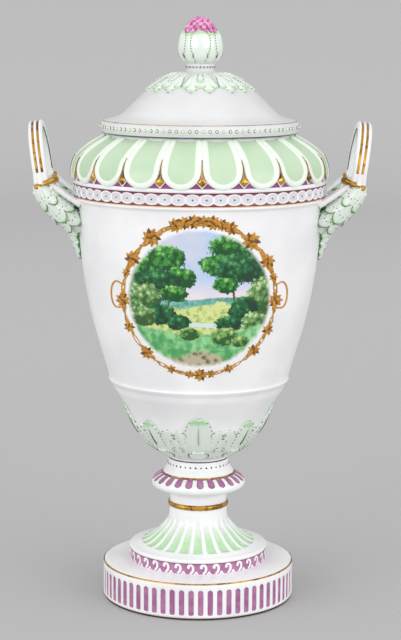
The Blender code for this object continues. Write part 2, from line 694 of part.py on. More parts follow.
def lid_outer():
    """Outer side of the lid from the tip of its berries down to its seat."""
    berries = [(0.0, BERRY_BASE + BERRY_HEIGHT)]
    berries += arc((0.0, BERRY_BASE), (BERRY_RADIUS, BERRY_HEIGHT), 72, 10, 3)
    bud = between((KNOB_NECK_RADIUS, BUD_BASE), (KNOB_RADIUS, BERRY_BASE), KNOB_BUD_LINE)
    bud.append((KNOB_NECK_RADIUS, BUD_BASE))
    bead = [
        (KNOB_NECK_RADIUS + KNOB_BEAD, blend(DOME_TOP, BUD_BASE, 0.57)),
        (KNOB_NECK_RADIUS - KNOB_BEAD * 0.4, blend(DOME_TOP, BUD_BASE, 0.15)),
    ]
    dome = [(KNOB_NECK_RADIUS + KNOB_FLARE, DOME_TOP - KNOB_BEAD * 0.5)]
    dome += between((0.0, DOME_TOP), (DOME_RADIUS, RIM_TOP), DOME_LINE)
    dome += [(blend(DOME_RADIUS, RIM_RADIUS, across), RIM_TOP + up) for across, up in LID_COVE_LINE]
    rim = [(RIM_RADIUS - LID_RIM_ROLL * 0.64, RIM_TOP)]
    roll_centre = (RIM_RADIUS - LID_RIM_ROLL, blend(LID_SEAT, RIM_TOP, 0.56))
    rim += arc(roll_centre, (LID_RIM_ROLL, LID_RIM_HALF), 50, -50, 2)
    rim.append((RIM_RADIUS - LID_RIM_FOOT, LID_SEAT))
    return berries + smooth_line(bud, 4) + bead + smooth_line(dome, 7) + rim


def lid_under():
    """Inner side of the lid from under the dome down into the mouth and back up to the seat."""
    flange_out = MOUTH_RADIUS - LID_FLANGE_CLEARANCE
    flange_in = flange_out - LID_FLANGE_WALL
    ceiling = [(0.0, DOME_TOP - LID_WALL - LID_CEILING_DROP)]
    for radius, height in between((0.0, DOME_TOP), (DOME_RADIUS, RIM_TOP), DOME_LINE[:4]):
        ceiling.append((radius - LID_WALL * 0.55, height - LID_WALL * 0.85))
    return ceiling + [
        (flange_in, blend(LID_SEAT, RIM_TOP, 0.50)),
        (flange_in, LID_SEAT - LID_FLANGE_DEPTH),
        (flange_out, LID_SEAT - LID_FLANGE_DEPTH),
        (flange_out, LID_SEAT),
    ]


def lid_piece(collection):
    outer = lid_outer()
    under = lid_under()
    outline = outer + under[::-1]
    bud_low = BUD_BASE + KNOB_BUD_HEIGHT * 0.17
    bud_high = BERRY_BASE - KNOB_BUD_HEIGHT * 0.08

    def carve(radius, height, meridian):
        if (radius, height) not in outer or radius > KNOB_RADIUS + 1e-6:
            return radius, height, 0.0
        if height > bud_high:
            row = round((BERRY_BASE + BERRY_HEIGHT - height) / BERRY_ROW)
            bump = (meridian // 2 + row) % 2 == 0
            return radius - (0.0 if bump else BERRY_DEPTH), height, 0.0
        if bud_low < height <= bud_high and meridian % 4 == 0:
            return radius - KNOB_LEAF_DEPTH, height, 0.0
        return radius, height, 0.0

    def spacing(radius, height):
        return 1 if (radius, height) in outer and radius > FINE_RADIUS else 2

    obj = turned("lid", outline, LID_STEPS, collection)
    shape_rings(obj, outline, LID_STEPS, carve, spacing)
    dome_side = [point for point in outer if point[1] < DOME_TOP]

    def surface(radius):
        for (r0, z0), (r1, z1) in zip(dome_side, dome_side[1:]):
            if r0 <= radius <= r1:
                size = math.hypot(r1 - r0, z0 - z1)
                height = blend(z0, z1, (radius - r0) / (r1 - r0))
                return (radius, height), ((z0 - z1) / size, (r1 - r0) / size)
        return dome_side[0], (0.0, 1.0)

    leaves = []
    for i in range(LID_LEAVES):
        angle = FRONT_ANGLE + (i + 0.5) * 360 / LID_LEAVES
        leaves.append(relief_leaf(
            f"lid_leaf_{i}", surface, (LID_LEAF_INNER, LID_LEAF_INNER + LID_LEAF_LENGTH), angle,
            LID_LEAF_HALF_WIDTHS[i % 2], LID_LEAF_RISE, 2, collection, sink=LID_LEAF_SINKS[i % 2]))
    return unite(obj, leaves)


def glaze(name, colour):
    material = bpy.data.materials.new(name)
    material.use_nodes = True
    shader = next(n for n in material.node_tree.nodes if n.type == "BSDF_PRINCIPLED")
    shader.inputs["Base Color"].default_value = colour
    shader.inputs["Roughness"].default_value = 0.18
    shader.inputs["Metallic"].default_value = 0.0
    return material


def finish(obj, colour):
    obj.data.materials.clear()
    obj.data.materials.append(glaze(obj.name + "_glaze", colour))
    obj.data.shade_smooth()
    obj.data.set_sharp_from_angle(angle=math.radians(35))


def main():
    for obj in list(bpy.data.objects):
        bpy.data.objects.remove(obj)
    pieces = bpy.data.collections.new(OBJECT_NAME)
    guides = bpy.data.collections.new("cutters")
    bpy.context.scene.collection.children.link(pieces)
    bpy.context.scene.collection.children.link(guides)
    finish(foot_piece(pieces), FOOT_GLAZE)
    finish(body_piece(pieces, guides), WHITE_GLAZE)
    finish(lid_piece(pieces), LID_GLAZE)


main()
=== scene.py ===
"""Looks of the lidded porcelain urn vase: painted glaze, gilding, leaves, beads and picture.

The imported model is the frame. Lengths are in metres and angles in degrees, +Z is up, and
the painted face looks along -Y.
"""

import bisect
import math

import bmesh
import bpy
from bpy.props import FloatProperty, FloatVectorProperty, IntProperty, PointerProperty
from mathutils import Matrix, Vector


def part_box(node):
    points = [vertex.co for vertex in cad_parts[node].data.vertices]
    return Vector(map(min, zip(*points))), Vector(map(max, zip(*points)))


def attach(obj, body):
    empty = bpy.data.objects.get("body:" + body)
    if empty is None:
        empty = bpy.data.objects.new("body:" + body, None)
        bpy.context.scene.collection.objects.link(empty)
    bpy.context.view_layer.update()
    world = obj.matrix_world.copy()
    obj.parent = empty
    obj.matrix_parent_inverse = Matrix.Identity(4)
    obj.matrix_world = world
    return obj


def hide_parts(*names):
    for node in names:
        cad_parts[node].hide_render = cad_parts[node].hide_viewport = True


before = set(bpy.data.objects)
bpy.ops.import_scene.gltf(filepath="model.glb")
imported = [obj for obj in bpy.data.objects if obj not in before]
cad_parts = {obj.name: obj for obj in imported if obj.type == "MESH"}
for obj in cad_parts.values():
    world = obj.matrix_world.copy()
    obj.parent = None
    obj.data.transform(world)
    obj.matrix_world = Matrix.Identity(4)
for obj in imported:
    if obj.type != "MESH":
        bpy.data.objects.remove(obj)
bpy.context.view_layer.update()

bl_info = {
    "name": "Lidded porcelain urn vase",
    "version": (1, 0, 0),
    "blender": (4, 5, 0),
    "location": "3D View > Sidebar > Vase",
    "description": "Dresses the packed urn vase with its glaze, painting, leaves and gilding",
    "category": "Object",
}

_, FOOT_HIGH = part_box("foot")
BODY_LOW, BODY_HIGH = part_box("body")
LID_LOW, LID_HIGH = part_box("lid")
FRONT = -90.0
# How deep thin paint is sunk into its ground, and a short step off a surface that gives its direction
BOND = 0.0003
STEP_OFF = 0.001

# Foot, from the frame's corners and the real sizes of its turned parts
PLINTH_RADIUS = FOOT_HIGH.x
PLINTH_TOP = 0.0330
PLINTH_WALL = 0.0076
PLINTH_HOLLOW_TOP = 0.0280
PLINTH_RECESS = 0.0058
DRUM_RADIUS = 0.0617
DRUM_HOLLOW = 0.0552
DRUM_LOW = 0.0342
DRUM_TOP = 0.0442
LIP_TOP = 0.0476
STEM_RADIUS = 0.0254
STEM_RING = 0.0850
COLLAR_LOW = 0.1131
COLLAR_RADIUS = 0.0318
COLLAR_DOTS = 0.1222
FOOT_TOP = FOOT_HIGH.z
FOOT_TOP_RADIUS = 0.0262
FLUTE_PHASE = 1.75
FLUTE_LOW = 0.0042
FLUTE_HIGH = 0.0272
FLUTE_HALF = 0.0025
FLUTE_BLUNT = 0.4
PETAL_PHASE = 2.5
PETAL_LOW = 0.1068
STEM_FLUTE_LOW = 0.0497
STEM_FLUTE_HIGH = 0.0745
STEM_FLUTE_SHARE = 0.36

# Body
BOWL_LOW = BODY_LOW.z
RIDGE_TOP = 0.2012
RIDGE_RADIUS = 0.0808
BAND_LOW = 0.3628
BAND_HIGH = 0.3752
BAND_RADIUS = 0.1115
RINGS_LOW = 0.3648
RINGS_HIGH = 0.3748
RING_HALF = 0.0064
SHOULDER_LOW = 0.3780
SHOULDER_RADIUS = 0.1132
SHOULDER_TOP = 0.4185
SEAT_RADIUS = 0.0822
MOUTH_RADIUS = 0.0740
WALL = 0.0055
TONGUE_GROUND = 0.0018
TONGUE_PHASE = 1.0
BORDER_WIDTH = 0.0068
PANEL_SINK = 0.0011
PICTURE_HEIGHT = 0.2848

# Lid
RIM_RADIUS = LID_HIGH.x
RIM_LOW = 0.4188
RIM_TOP = 0.4298
RIM_BEADS = 0.4248
DOME_RADIUS = 0.0674
LEAVES_TOP = 0.4705
KNOB_BEADS = 0.4762
BUD_LOW = 0.4800
BUD_RADIUS = 0.0189
BUD_NECK = 0.0120
BERRY_LOW = 0.5040
TIP = LID_HIGH.z
FLANGE_LOW = LID_LOW.z

# Handles, for the right side; the left one mirrors it
HOOP_OUT = 0.1367
HOOP_FOOT = 0.3760
HOOP_TOP = BODY_HIGH.z
HOOP_HALF = 0.0350
HOOP_LEAN = 8.6
STRAP_WIDTH = 0.0122
STRAP_DEEP = 0.0066
TIE_TILT = 24.0
TIE_HALF = 0.0116
ARM_FOOT = 0.3375
ARM_SPREAD = 0.0220
STRUT_FOOT = 0.3585
WALL_LEAF_TOP = 0.3605
WALL_LEAF_TIP = 0.3065

# Camera of the photograph, and the size of its frame in pixels
CAMERA_PLACE = Vector((0.0, -1.7055, 0.5278))
CAMERA_PITCH = 9.198
CAMERA_ROLL = 0.29
CAMERA_LENS = 108.75
FRAME_TALL = 640
OBJECT_LEFT = 1.4

# Studio: the paper's edges, its curve and the lamps' breadth
PAPER_HALF, PAPER_NEAR, PAPER_FAR, PAPER_HIGH, PAPER_COVE = 9.0, -12.0, 3.4, 5.0, 1.4
LAMP_WIDE = 3.0
# Painted shade: the lid's white glaze is this share of the body's, so that the lid, lit more strongly from
# above, is no brighter than the body.
LID_PAINTED_SHADE = 0.80


def polar(radius, turn, height):
    a = math.radians(turn)
    return Vector((radius * math.cos(a), radius * math.sin(a), height))


def blend(a, b, share):
    return a + (b - a) * share


def ease(low, high, value):
    """0 below low, 1 above high and a smooth step between them."""
    t = min(max((value - low) / (high - low), 0.0), 1.0)
    return t * t * (3 - 2 * t)


def arc(centre, radii, start, end, count):
    points = []
    for i in range(count + 1):
        a = math.radians(blend(start, end, i / count))
        points.append((centre[0] + radii[0] * math.cos(a), centre[1] + radii[1] * math.sin(a)))
    return points


def smooth_line(stations, count):
    """Even steps along a Catmull-Rom curve through the stations."""
    size = len(stations[0])
    first = tuple(2 * stations[0][k] - stations[1][k] for k in range(size))
    last = tuple(2 * stations[-1][k] - stations[-2][k] for k in range(size))
    knots = [first, *stations, last]
    spans = len(stations) - 1
    points = []
    for i in range(count + 1):
        place = min(i / count * spans, spans - 1e-9)
        t = place - int(place)
        a, b, c, d = knots[int(place):int(place) + 4]
        points.append(tuple(
            0.5 * (2 * b[k] + (c[k] - a[k]) * t + (2 * a[k] - 5 * b[k] + 4 * c[k] - d[k]) * t * t
                   + (3 * b[k] - a[k] - 3 * c[k] + d[k]) * t ** 3)
            for k in range(size)))
    return points


def straight(start, end, count):
    return [tuple(blend(a, b, i / count) for a, b in zip(start, end)) for i in range(count + 1)]


def all_round(count, shift=0.0):
    """The number and the turn of each of count pieces round the vase; shift is a share of their pitch."""
    return [(k, FRONT + 360 * (k + shift) / count) for k in range(count)]


def heading(path, i):
    """Direction of a path in space at its point i."""
    return (path[min(i + 1, len(path) - 1)] - path[max(i - 1, 0)]).normalized()


def darker(colour, share):
    return [part * share for part in colour]


class Profile:
    """A turned outline that runs upward, measured along its own length."""

    def __init__(self, points):
        self.points = points
        self.marks = [0.0]
        for a, b in zip(points, points[1:]):
            self.marks.append(self.marks[-1] + math.dist(a, b))
        self.length = self.marks[-1]

    def at(self, along):
        """Radius and height at a length along the outline."""
        along = min(max(along, 0.0), self.length)
        i = min(max(bisect.bisect_right(self.marks, along) - 1, 0), len(self.points) - 2)
        span = self.marks[i + 1] - self.marks[i]
        share = (along - self.marks[i]) / span if span else 0.0
        (r0, z0), (r1, z1) = self.points[i], self.points[i + 1]
        return blend(r0, r1, share), blend(z0, z1, share)

    def out(self, along):
        """Direction straight off the surface, as its outward and upward parts."""
        reach = 0.0006
        (r0, z0), (r1, z1) = self.at(along - reach), self.at(along + reach)
        size = math.hypot(r1 - r0, z1 - z0)
        return (z1 - z0) / size, (r0 - r1) / size

    def sunk(self, along, depth):
        """Radius and height of a place under the surface."""
        (radius, height), (out_r, out_z) = self.at(along), self.out(along)
        return radius - out_r * depth, height - out_z * depth

    def place(self, along, turn, lift=0.0):
        radius, height = self.sunk(along, -lift)
        return polar(radius, turn, height)

    def along(self, height):
        """Length along the outline at which it first reaches a height."""
        for mark, (a, b) in zip(self.marks, zip(self.points, self.points[1:])):
            if a[1] <= height <= b[1] and b[1] > a[1]:
                return mark + math.dist(a, b) * (height - a[1]) / (b[1] - a[1])
        return self.length

    def radius(self, height):
        return self.at(self.along(height))[0]


def stem_outline():
    """Outer outline of the drum, the stem, the flange and the collar."""
    points = [(DRUM_RADIUS, DRUM_LOW - 0.0006), (DRUM_RADIUS, DRUM_TOP)]
    points += arc((DRUM_RADIUS - 0.0012, (DRUM_TOP + LIP_TOP) / 2), (0.0018, 0.0017), -50, 90, 8)
    points += smooth_line([(0.0555, 0.0484), (0.0441, 0.0530), (0.0335, 0.0625), (0.0270, 0.0712),
                           (0.0258, 0.0790)], 36)
    points += arc((STEM_RADIUS, STEM_RING), (0.0017, 0.0022), -90, 90, 10)
    points += straight((STEM_RADIUS, 0.0880), (STEM_RADIUS + 0.0003, 0.0952), 3)
    points += smooth_line([(0.0262, 0.0968), (0.0299, 0.0993), (0.0375, 0.0999)], 6)
    points += arc((0.0375, 0.1043), (0.0045, 0.0044), -80, 55, 12)
    points += smooth_line([(0.0388, 0.1089), (0.0369, 0.1105), (0.0340, 0.1120), (0.0322, COLLAR_LOW)], 8)
    points += smooth_line([(COLLAR_RADIUS, 0.1142), (0.0300, 0.1172), (0.0281, 0.1204), (0.0268, 0.1250),
                           (FOOT_TOP_RADIUS, 0.1276)], 14)
    return points


def body_outline():
    """Outer outline of the body from its underside up to the seat of the lid."""
    points = smooth_line([
        (0.0266, BOWL_LOW), (0.0314, 0.1320), (0.0432, 0.1408), (0.0553, 0.1555), (0.0645, 0.1740),
        (0.0762, 0.1922)], 30)
    points += [(0.0768, 0.1950), (0.0776, 0.1962), (0.0796, 0.1985)]
    points += smooth_line([
        (RIDGE_RADIUS - 0.0001, RIDGE_TOP - 0.0012), (0.0806, 0.2040), (0.0845, 0.2180), (0.0943, 0.2516),
        (0.1017, 0.2877), (0.1068, 0.3300), (0.1093, 0.3568)], 40)
    points += [(0.1097, 0.3590), (0.1101, 0.3603), (0.1113, 0.3612), (BAND_RADIUS + 0.0002, 0.3620)]
    points += straight((BAND_RADIUS, BAND_LOW), (BAND_RADIUS, BAND_HIGH), 6)
    points += [(BAND_RADIUS + 0.0003, BAND_HIGH + 0.0003), (0.1121, 0.3759), (0.1124, 0.3769)]
    points += smooth_line([
        (0.1127, SHOULDER_LOW), (SHOULDER_RADIUS, 0.3875), (0.1092, 0.3989), (0.0989, 0.4085),
        (0.0840, 0.4173)], 28)
    return points


def lid_outline():
    """Outer outline of the lid from its seat up to the neck of the bud."""
    points = [(0.0835, RIM_LOW), (0.0857, RIM_LOW + 0.0003), (0.0862, RIM_LOW + 0.0010)]
    points += arc((RIM_RADIUS - 0.0032, RIM_BEADS), (0.0031, 0.0046), -52, 62, 10)
    points += [(RIM_RADIUS - 0.0016, 0.4292), (RIM_RADIUS - 0.0028, RIM_TOP)]
    points += smooth_line([
        (0.0832, 0.4301), (0.0734, 0.4328), (DOME_RADIUS, 0.4363), (0.0600, 0.4433), (0.0512, 0.4518),
        (0.0412, 0.4603), (0.0290, 0.4676), (0.0180, 0.4713)], 42)
    points += smooth_line([(0.0130, 0.4722), (0.0118, 0.4740), (0.0122, 0.4756), (0.0129, 0.4768),
                           (0.0127, 0.4782), (BUD_NECK, BUD_LOW)], 10)
    return points


STEM = Profile(stem_outline())
BODY = Profile(body_outline())
LID = Profile(lid_outline())
BUD = Profile(smooth_line([
    (BUD_NECK, BUD_LOW), (0.0150, 0.4822), (0.0172, 0.4866), (BUD_RADIUS - 0.0010, 0.4930), (0.0172, 0.4988),
    (0.0150, 0.5046), (0.0130, 0.5080)], 30))


class Shade:
    """A socket of a finish. Sums on it add the nodes that work them out."""

    def __init__(self, finish, socket):
        self.finish = finish
        self.socket = socket

    def _sum(self, operation, first, second=0.0):
        node = self.finish.node("ShaderNodeMath", {"operation": operation}, {0: first, 1: second})
        return self.finish.shade(node, 0)

    def __add__(self, other):
        return self._sum("ADD", self, other)

    __radd__ = __add__

    def __sub__(self, other):
        return self._sum("SUBTRACT", self, other)

    def __rsub__(self, other):
        return self._sum("SUBTRACT", other, self)

    def __mul__(self, other):
        return self._sum("MULTIPLY", self, other)

    __rmul__ = __mul__

    def __truediv__(self, other):
        return self._sum("DIVIDE", self, other)

    def __pow__(self, other):
        return self._sum("POWER", self, other)

    def __or__(self, other):
        """The larger of two values."""
        return self._sum("MAXIMUM", self, other)

    def step(self, low, high):
        """0 at low, 1 at high and a smooth step between them."""
        node = self.finish.node(
            "ShaderNodeMapRange", {"interpolation_type": "SMOOTHSTEP"},
            {"Value": self, "From Min": low, "From Max": high})
        return self.finish.shade(node, "Result")


class Finish:
    """A material with one Principled shader, built from node types, settings and inputs."""

    def __init__(self, name, **constants):
        self.material = bpy.data.materials.new(name)
        self.material.use_nodes = True
        self.tree = self.material.node_tree
        self.tree.nodes.clear()
        self.shader = self.node("ShaderNodeBsdfPrincipled")
        output = self.node("ShaderNodeOutputMaterial")
        self.tree.links.new(self.shader.outputs["BSDF"], output.inputs["Surface"])
        for socket, value in constants.items():
            self.shader.inputs[socket.replace("_", " ")].default_value = value

    def node(self, kind, settings=None, inputs=None):
        node = self.tree.nodes.new(kind)
        for key, value in (settings or {}).items():
            setattr(node, key, value)
        for key, value in (inputs or {}).items():
            self.feed(node.inputs[key], value)
        return node

    def feed(self, socket, value):
        if isinstance(value, Shade):
            self.tree.links.new(value.socket, socket)
        elif socket.type == "RGBA":
            socket.default_value = (*value, 1.0)
        else:
            socket.default_value = value

    def shade(self, node, output):
        return Shade(self, node.outputs[output])

    def place(self):
        """Object coordinates, in metres."""
        return self.shade(self.node("ShaderNodeTexCoord"), "Object")

    def axes(self):
        split = self.node("ShaderNodeSeparateXYZ", inputs={"Vector": self.place()})
        return [self.shade(split, axis) for axis in "XYZ"]

    def noise(self, scale, detail=2.0, roughness=0.5):
        node = self.node("ShaderNodeTexNoise", inputs={
            "Vector": self.place(), "Scale": scale, "Detail": detail, "Roughness": roughness})
        return self.shade(node, "Fac")

    def cells(self, scale):
        node = self.node("ShaderNodeTexVoronoi", inputs={"Vector": self.place(), "Scale": scale})
        return self.shade(node, "Distance")

    def tint(self):
        """The green share that is stored at each point of a leaf."""
        return self.shade(self.node("ShaderNodeAttribute", {"attribute_name": "tint"}), "Fac")

    def mix(self, below, above, share):
        node = self.node("ShaderNodeMix", {"data_type": "RGBA"}, {0: share, 6: below, 7: above})
        return self.shade(node, 2)

    def paint(self, colour):
        self.feed(self.shader.inputs["Base Color"], colour)
        return self

    def relief(self, height, strength, distance):
        node = self.node("ShaderNodeBump", inputs={
            "Height": height, "Strength": strength, "Distance": distance})
        self.feed(self.shader.inputs["Normal"], self.shade(node, "Normal"))
        return self

    def rough(self, value):
        self.feed(self.shader.inputs["Roughness"], value)
        return self


def linear(red, green, blue):
    """A colour given as on a screen, 0 to 255, in the light units that shaders use."""
    def one(value):
        share = value / 255
        return share / 12.92 if share <= 0.04045 else ((share + 0.055) / 1.055) ** 2.4
    return one(red), one(green), one(blue)


def enamel(name, light, dark, scale, rough=0.36):
    """Glazed colour: brushed a little thicker and thinner, under a clear glaze."""
    finish = Finish(name, Coat_Weight=0.2, Coat_Roughness=0.2, IOR=1.45)
    flow = finish.noise(scale, 3.0).step(0.32, 0.68)
    finish.paint(finish.mix(dark, light, flow))
    finish.rough(rough + finish.noise(scale * 0.5) * 0.08)
    return finish.relief(finish.noise(scale * 0.6), 0.10, 0.0004).material


def leaf_enamel(name, white, green, deep):
    """Leaf glaze: pale, with green washed in where the stored tint says, and darkest last."""
    finish = Finish(name, Coat_Weight=0.5, Coat_Roughness=0.08, IOR=1.5)
    patch = finish.tint() + (finish.noise(260.0) - 0.5) * 0.35
    washed = finish.mix(white, green, patch.step(0.15, 0.60))
    finish.paint(finish.mix(washed, deep, patch.step(0.72, 1.0)))
    finish.rough(0.26 + finish.noise(40.0) * 0.08)
    return finish.relief(finish.noise(180.0), 0.12, 0.0004).material


def gilt(name, light, dark):
    """Burnished gilding: metal with brushed darker lines and thinner, rougher wear."""
    finish = Finish(name, Metallic=0.85, IOR=1.5)
    brush = finish.noise(420.0, 3.0)
    worn = finish.noise(90.0).step(0.25, 0.75)
    finish.paint(finish.mix(dark, light, (brush * 0.5 + worn * 0.5).step(0.25, 0.55)))
    finish.rough(0.22 + worn * 0.16)
    return finish.relief(brush, 0.25, 0.0002).material


def picture_paint(name, white, half):
    """A generic landscape: hazy sky, hills, banks of trees, a stream and a meadow, faded out round."""
    finish = Finish(name, Coat_Weight=0.4, Coat_Roughness=0.10, IOR=1.5)
    x, _, z = finish.axes()
    across = x / half
    up = (z - PICTURE_HEIGHT) / half
    ripple = finish.noise(38.0, 3.0)
    fine = finish.noise(150.0, 4.0, roughness=0.62)
    leafy = finish.noise(460.0, 3.0, roughness=0.60)
    clump = finish.cells(190.0)

    cloud = (finish.noise(26.0, 3.0) - across * 0.25 + up * 0.15).step(0.45, 0.72)
    sky = finish.mix(linear(236, 220, 222), linear(150, 194, 234), up.step(-0.05, 0.45))
    sky = finish.mix(sky, linear(206, 206, 220), cloud * 0.85)
    far_woods = finish.mix(linear(122, 182, 176), linear(72, 146, 130), fine.step(0.4, 0.6))
    hills = (0.02 + (ripple - 0.5) * 0.16 - up).step(-0.012, 0.012)
    scene = finish.mix(sky, far_woods, hills)
    fields = ((fine - 0.5) * 0.20 + (ripple - 0.5) * 0.30 - 0.06 - up).step(-0.01, 0.01)
    crops = finish.mix(linear(146, 178, 92), linear(212, 220, 146), (leafy + clump * 0.5).step(0.5, 0.85))
    scene = finish.mix(scene, crops, fields)
    stream = (0.035 - ((up + 0.35 + across * 0.06) | (-0.35 - across * 0.06 - up))).step(0.0, 0.012)
    scene = finish.mix(scene, linear(206, 224, 230), stream)

    def trunk(below, foot_x, lean, wide, low, high):
        """A brown stem that leans and thins as it rises."""
        away = across - foot_x - (up - low) * lean - (fine - 0.5) * 0.05
        inside = (wide - (away | (0.0 - away))).step(0.0, 0.006) * (up - low).step(0.0, 0.02)
        return finish.mix(below, linear(84, 72, 40), inside * (high - up).step(0.0, 0.02))

    def crown(below, middle_x, middle_z, wide, tall, deep, middle, bright):
        """A leafy crown: dark underneath, light where the sun falls on it from the left."""
        dx = (across - middle_x) / wide
        dz = (up - middle_z) / tall
        ragged = (fine - 0.5) * 0.75 + (leafy - 0.5) * 0.7
        inside = (1.0 - (dx * dx + dz * dz) ** 0.5 + ragged).step(-0.02, 0.05)
        sun = dz * 0.46 - dx * 0.22 + (leafy - 0.5) * 1.7 + (0.36 - clump) * 1.5
        leaves = finish.mix(finish.mix(deep, middle, sun.step(-0.50, 0.05)), bright, sun.step(0.10, 0.60))
        return finish.mix(below, leaves, inside)

    emerald = linear(0, 74, 26), linear(54, 136, 50), linear(150, 204, 114)
    olive = linear(46, 88, 40), linear(106, 150, 84), linear(190, 212, 154)
    shadow = linear(0, 58, 30), linear(20, 98, 52), linear(82, 152, 88)
    for stem in ((-0.44, 0.10, 0.016, -0.36, 0.36), (-0.66, -0.06, 0.014, -0.30, 0.24),
                 (0.50, -0.10, 0.018, -0.30, 0.46), (0.74, 0.06, 0.014, -0.26, 0.34)):
        scene = trunk(scene, *stem)
    for *place, tones in (
            (-0.88, 0.06, 0.22, 0.36, olive), (-0.72, 0.38, 0.26, 0.20, emerald),
            (-0.44, 0.56, 0.28, 0.18, emerald), (-0.26, 0.30, 0.22, 0.15, emerald),
            (-0.54, 0.24, 0.30, 0.17, shadow), (-0.34, 0.08, 0.20, 0.12, emerald),
            (-0.70, 0.00, 0.20, 0.22, olive), (-0.52, -0.22, 0.24, 0.15, shadow),
            (-0.78, -0.26, 0.20, 0.15, olive), (-0.28, -0.32, 0.16, 0.11, shadow),
            (0.90, 0.10, 0.20, 0.40, olive), (0.76, 0.50, 0.26, 0.22, emerald),
            (0.44, 0.72, 0.32, 0.19, emerald), (0.22, 0.48, 0.22, 0.15, emerald),
            (0.54, 0.42, 0.34, 0.22, shadow), (0.36, 0.20, 0.18, 0.11, emerald),
            (0.82, -0.02, 0.20, 0.24, olive), (0.60, -0.14, 0.22, 0.18, shadow),
            (0.76, -0.34, 0.20, 0.15, olive), (0.40, -0.34, 0.18, 0.12, shadow)):
        scene = crown(scene, *place, *tones)
    blades = (fine * 0.6 + ripple * 0.4).step(0.4, 0.62)
    grass = finish.mix(linear(72, 156, 88), linear(152, 212, 150), blades)
    bank = ((ripple - 0.5) * 0.22 - 0.50 + across * across * 0.16 - up).step(-0.02, 0.02)
    scene = finish.mix(scene, grass, bank)
    bush = linear(36, 88, 34), linear(112, 158, 80), linear(196, 210, 134)
    for place in ((0.34, -0.52, 0.18, 0.13), (-0.14, -0.48, 0.16, 0.09), (0.56, -0.60, 0.12, 0.08)):
        scene = crown(scene, *place, *bush)
    earth = finish.mix(linear(92, 96, 52), linear(184, 176, 146), (fine * 0.7 + clump * 0.5).step(0.40, 0.66))
    rocky = ((ripple - 0.5) * 0.40 + (fine - 0.5) * 0.3 - 0.76 - across * across * 0.5 - up).step(-0.03, 0.05)
    scene = finish.mix(scene, earth, rocky)
    reach = (across * across + up * up) ** 0.5
    fade = (reach + (ripple - 0.5) * 0.06 + (fine - 0.5) * 0.05).step(0.91, 0.985)
    finish.paint(finish.mix(scene, white, fade))
    finish.rough(0.27 + fine * 0.08)
    return finish.relief(fine, 0.10, 0.0003).material


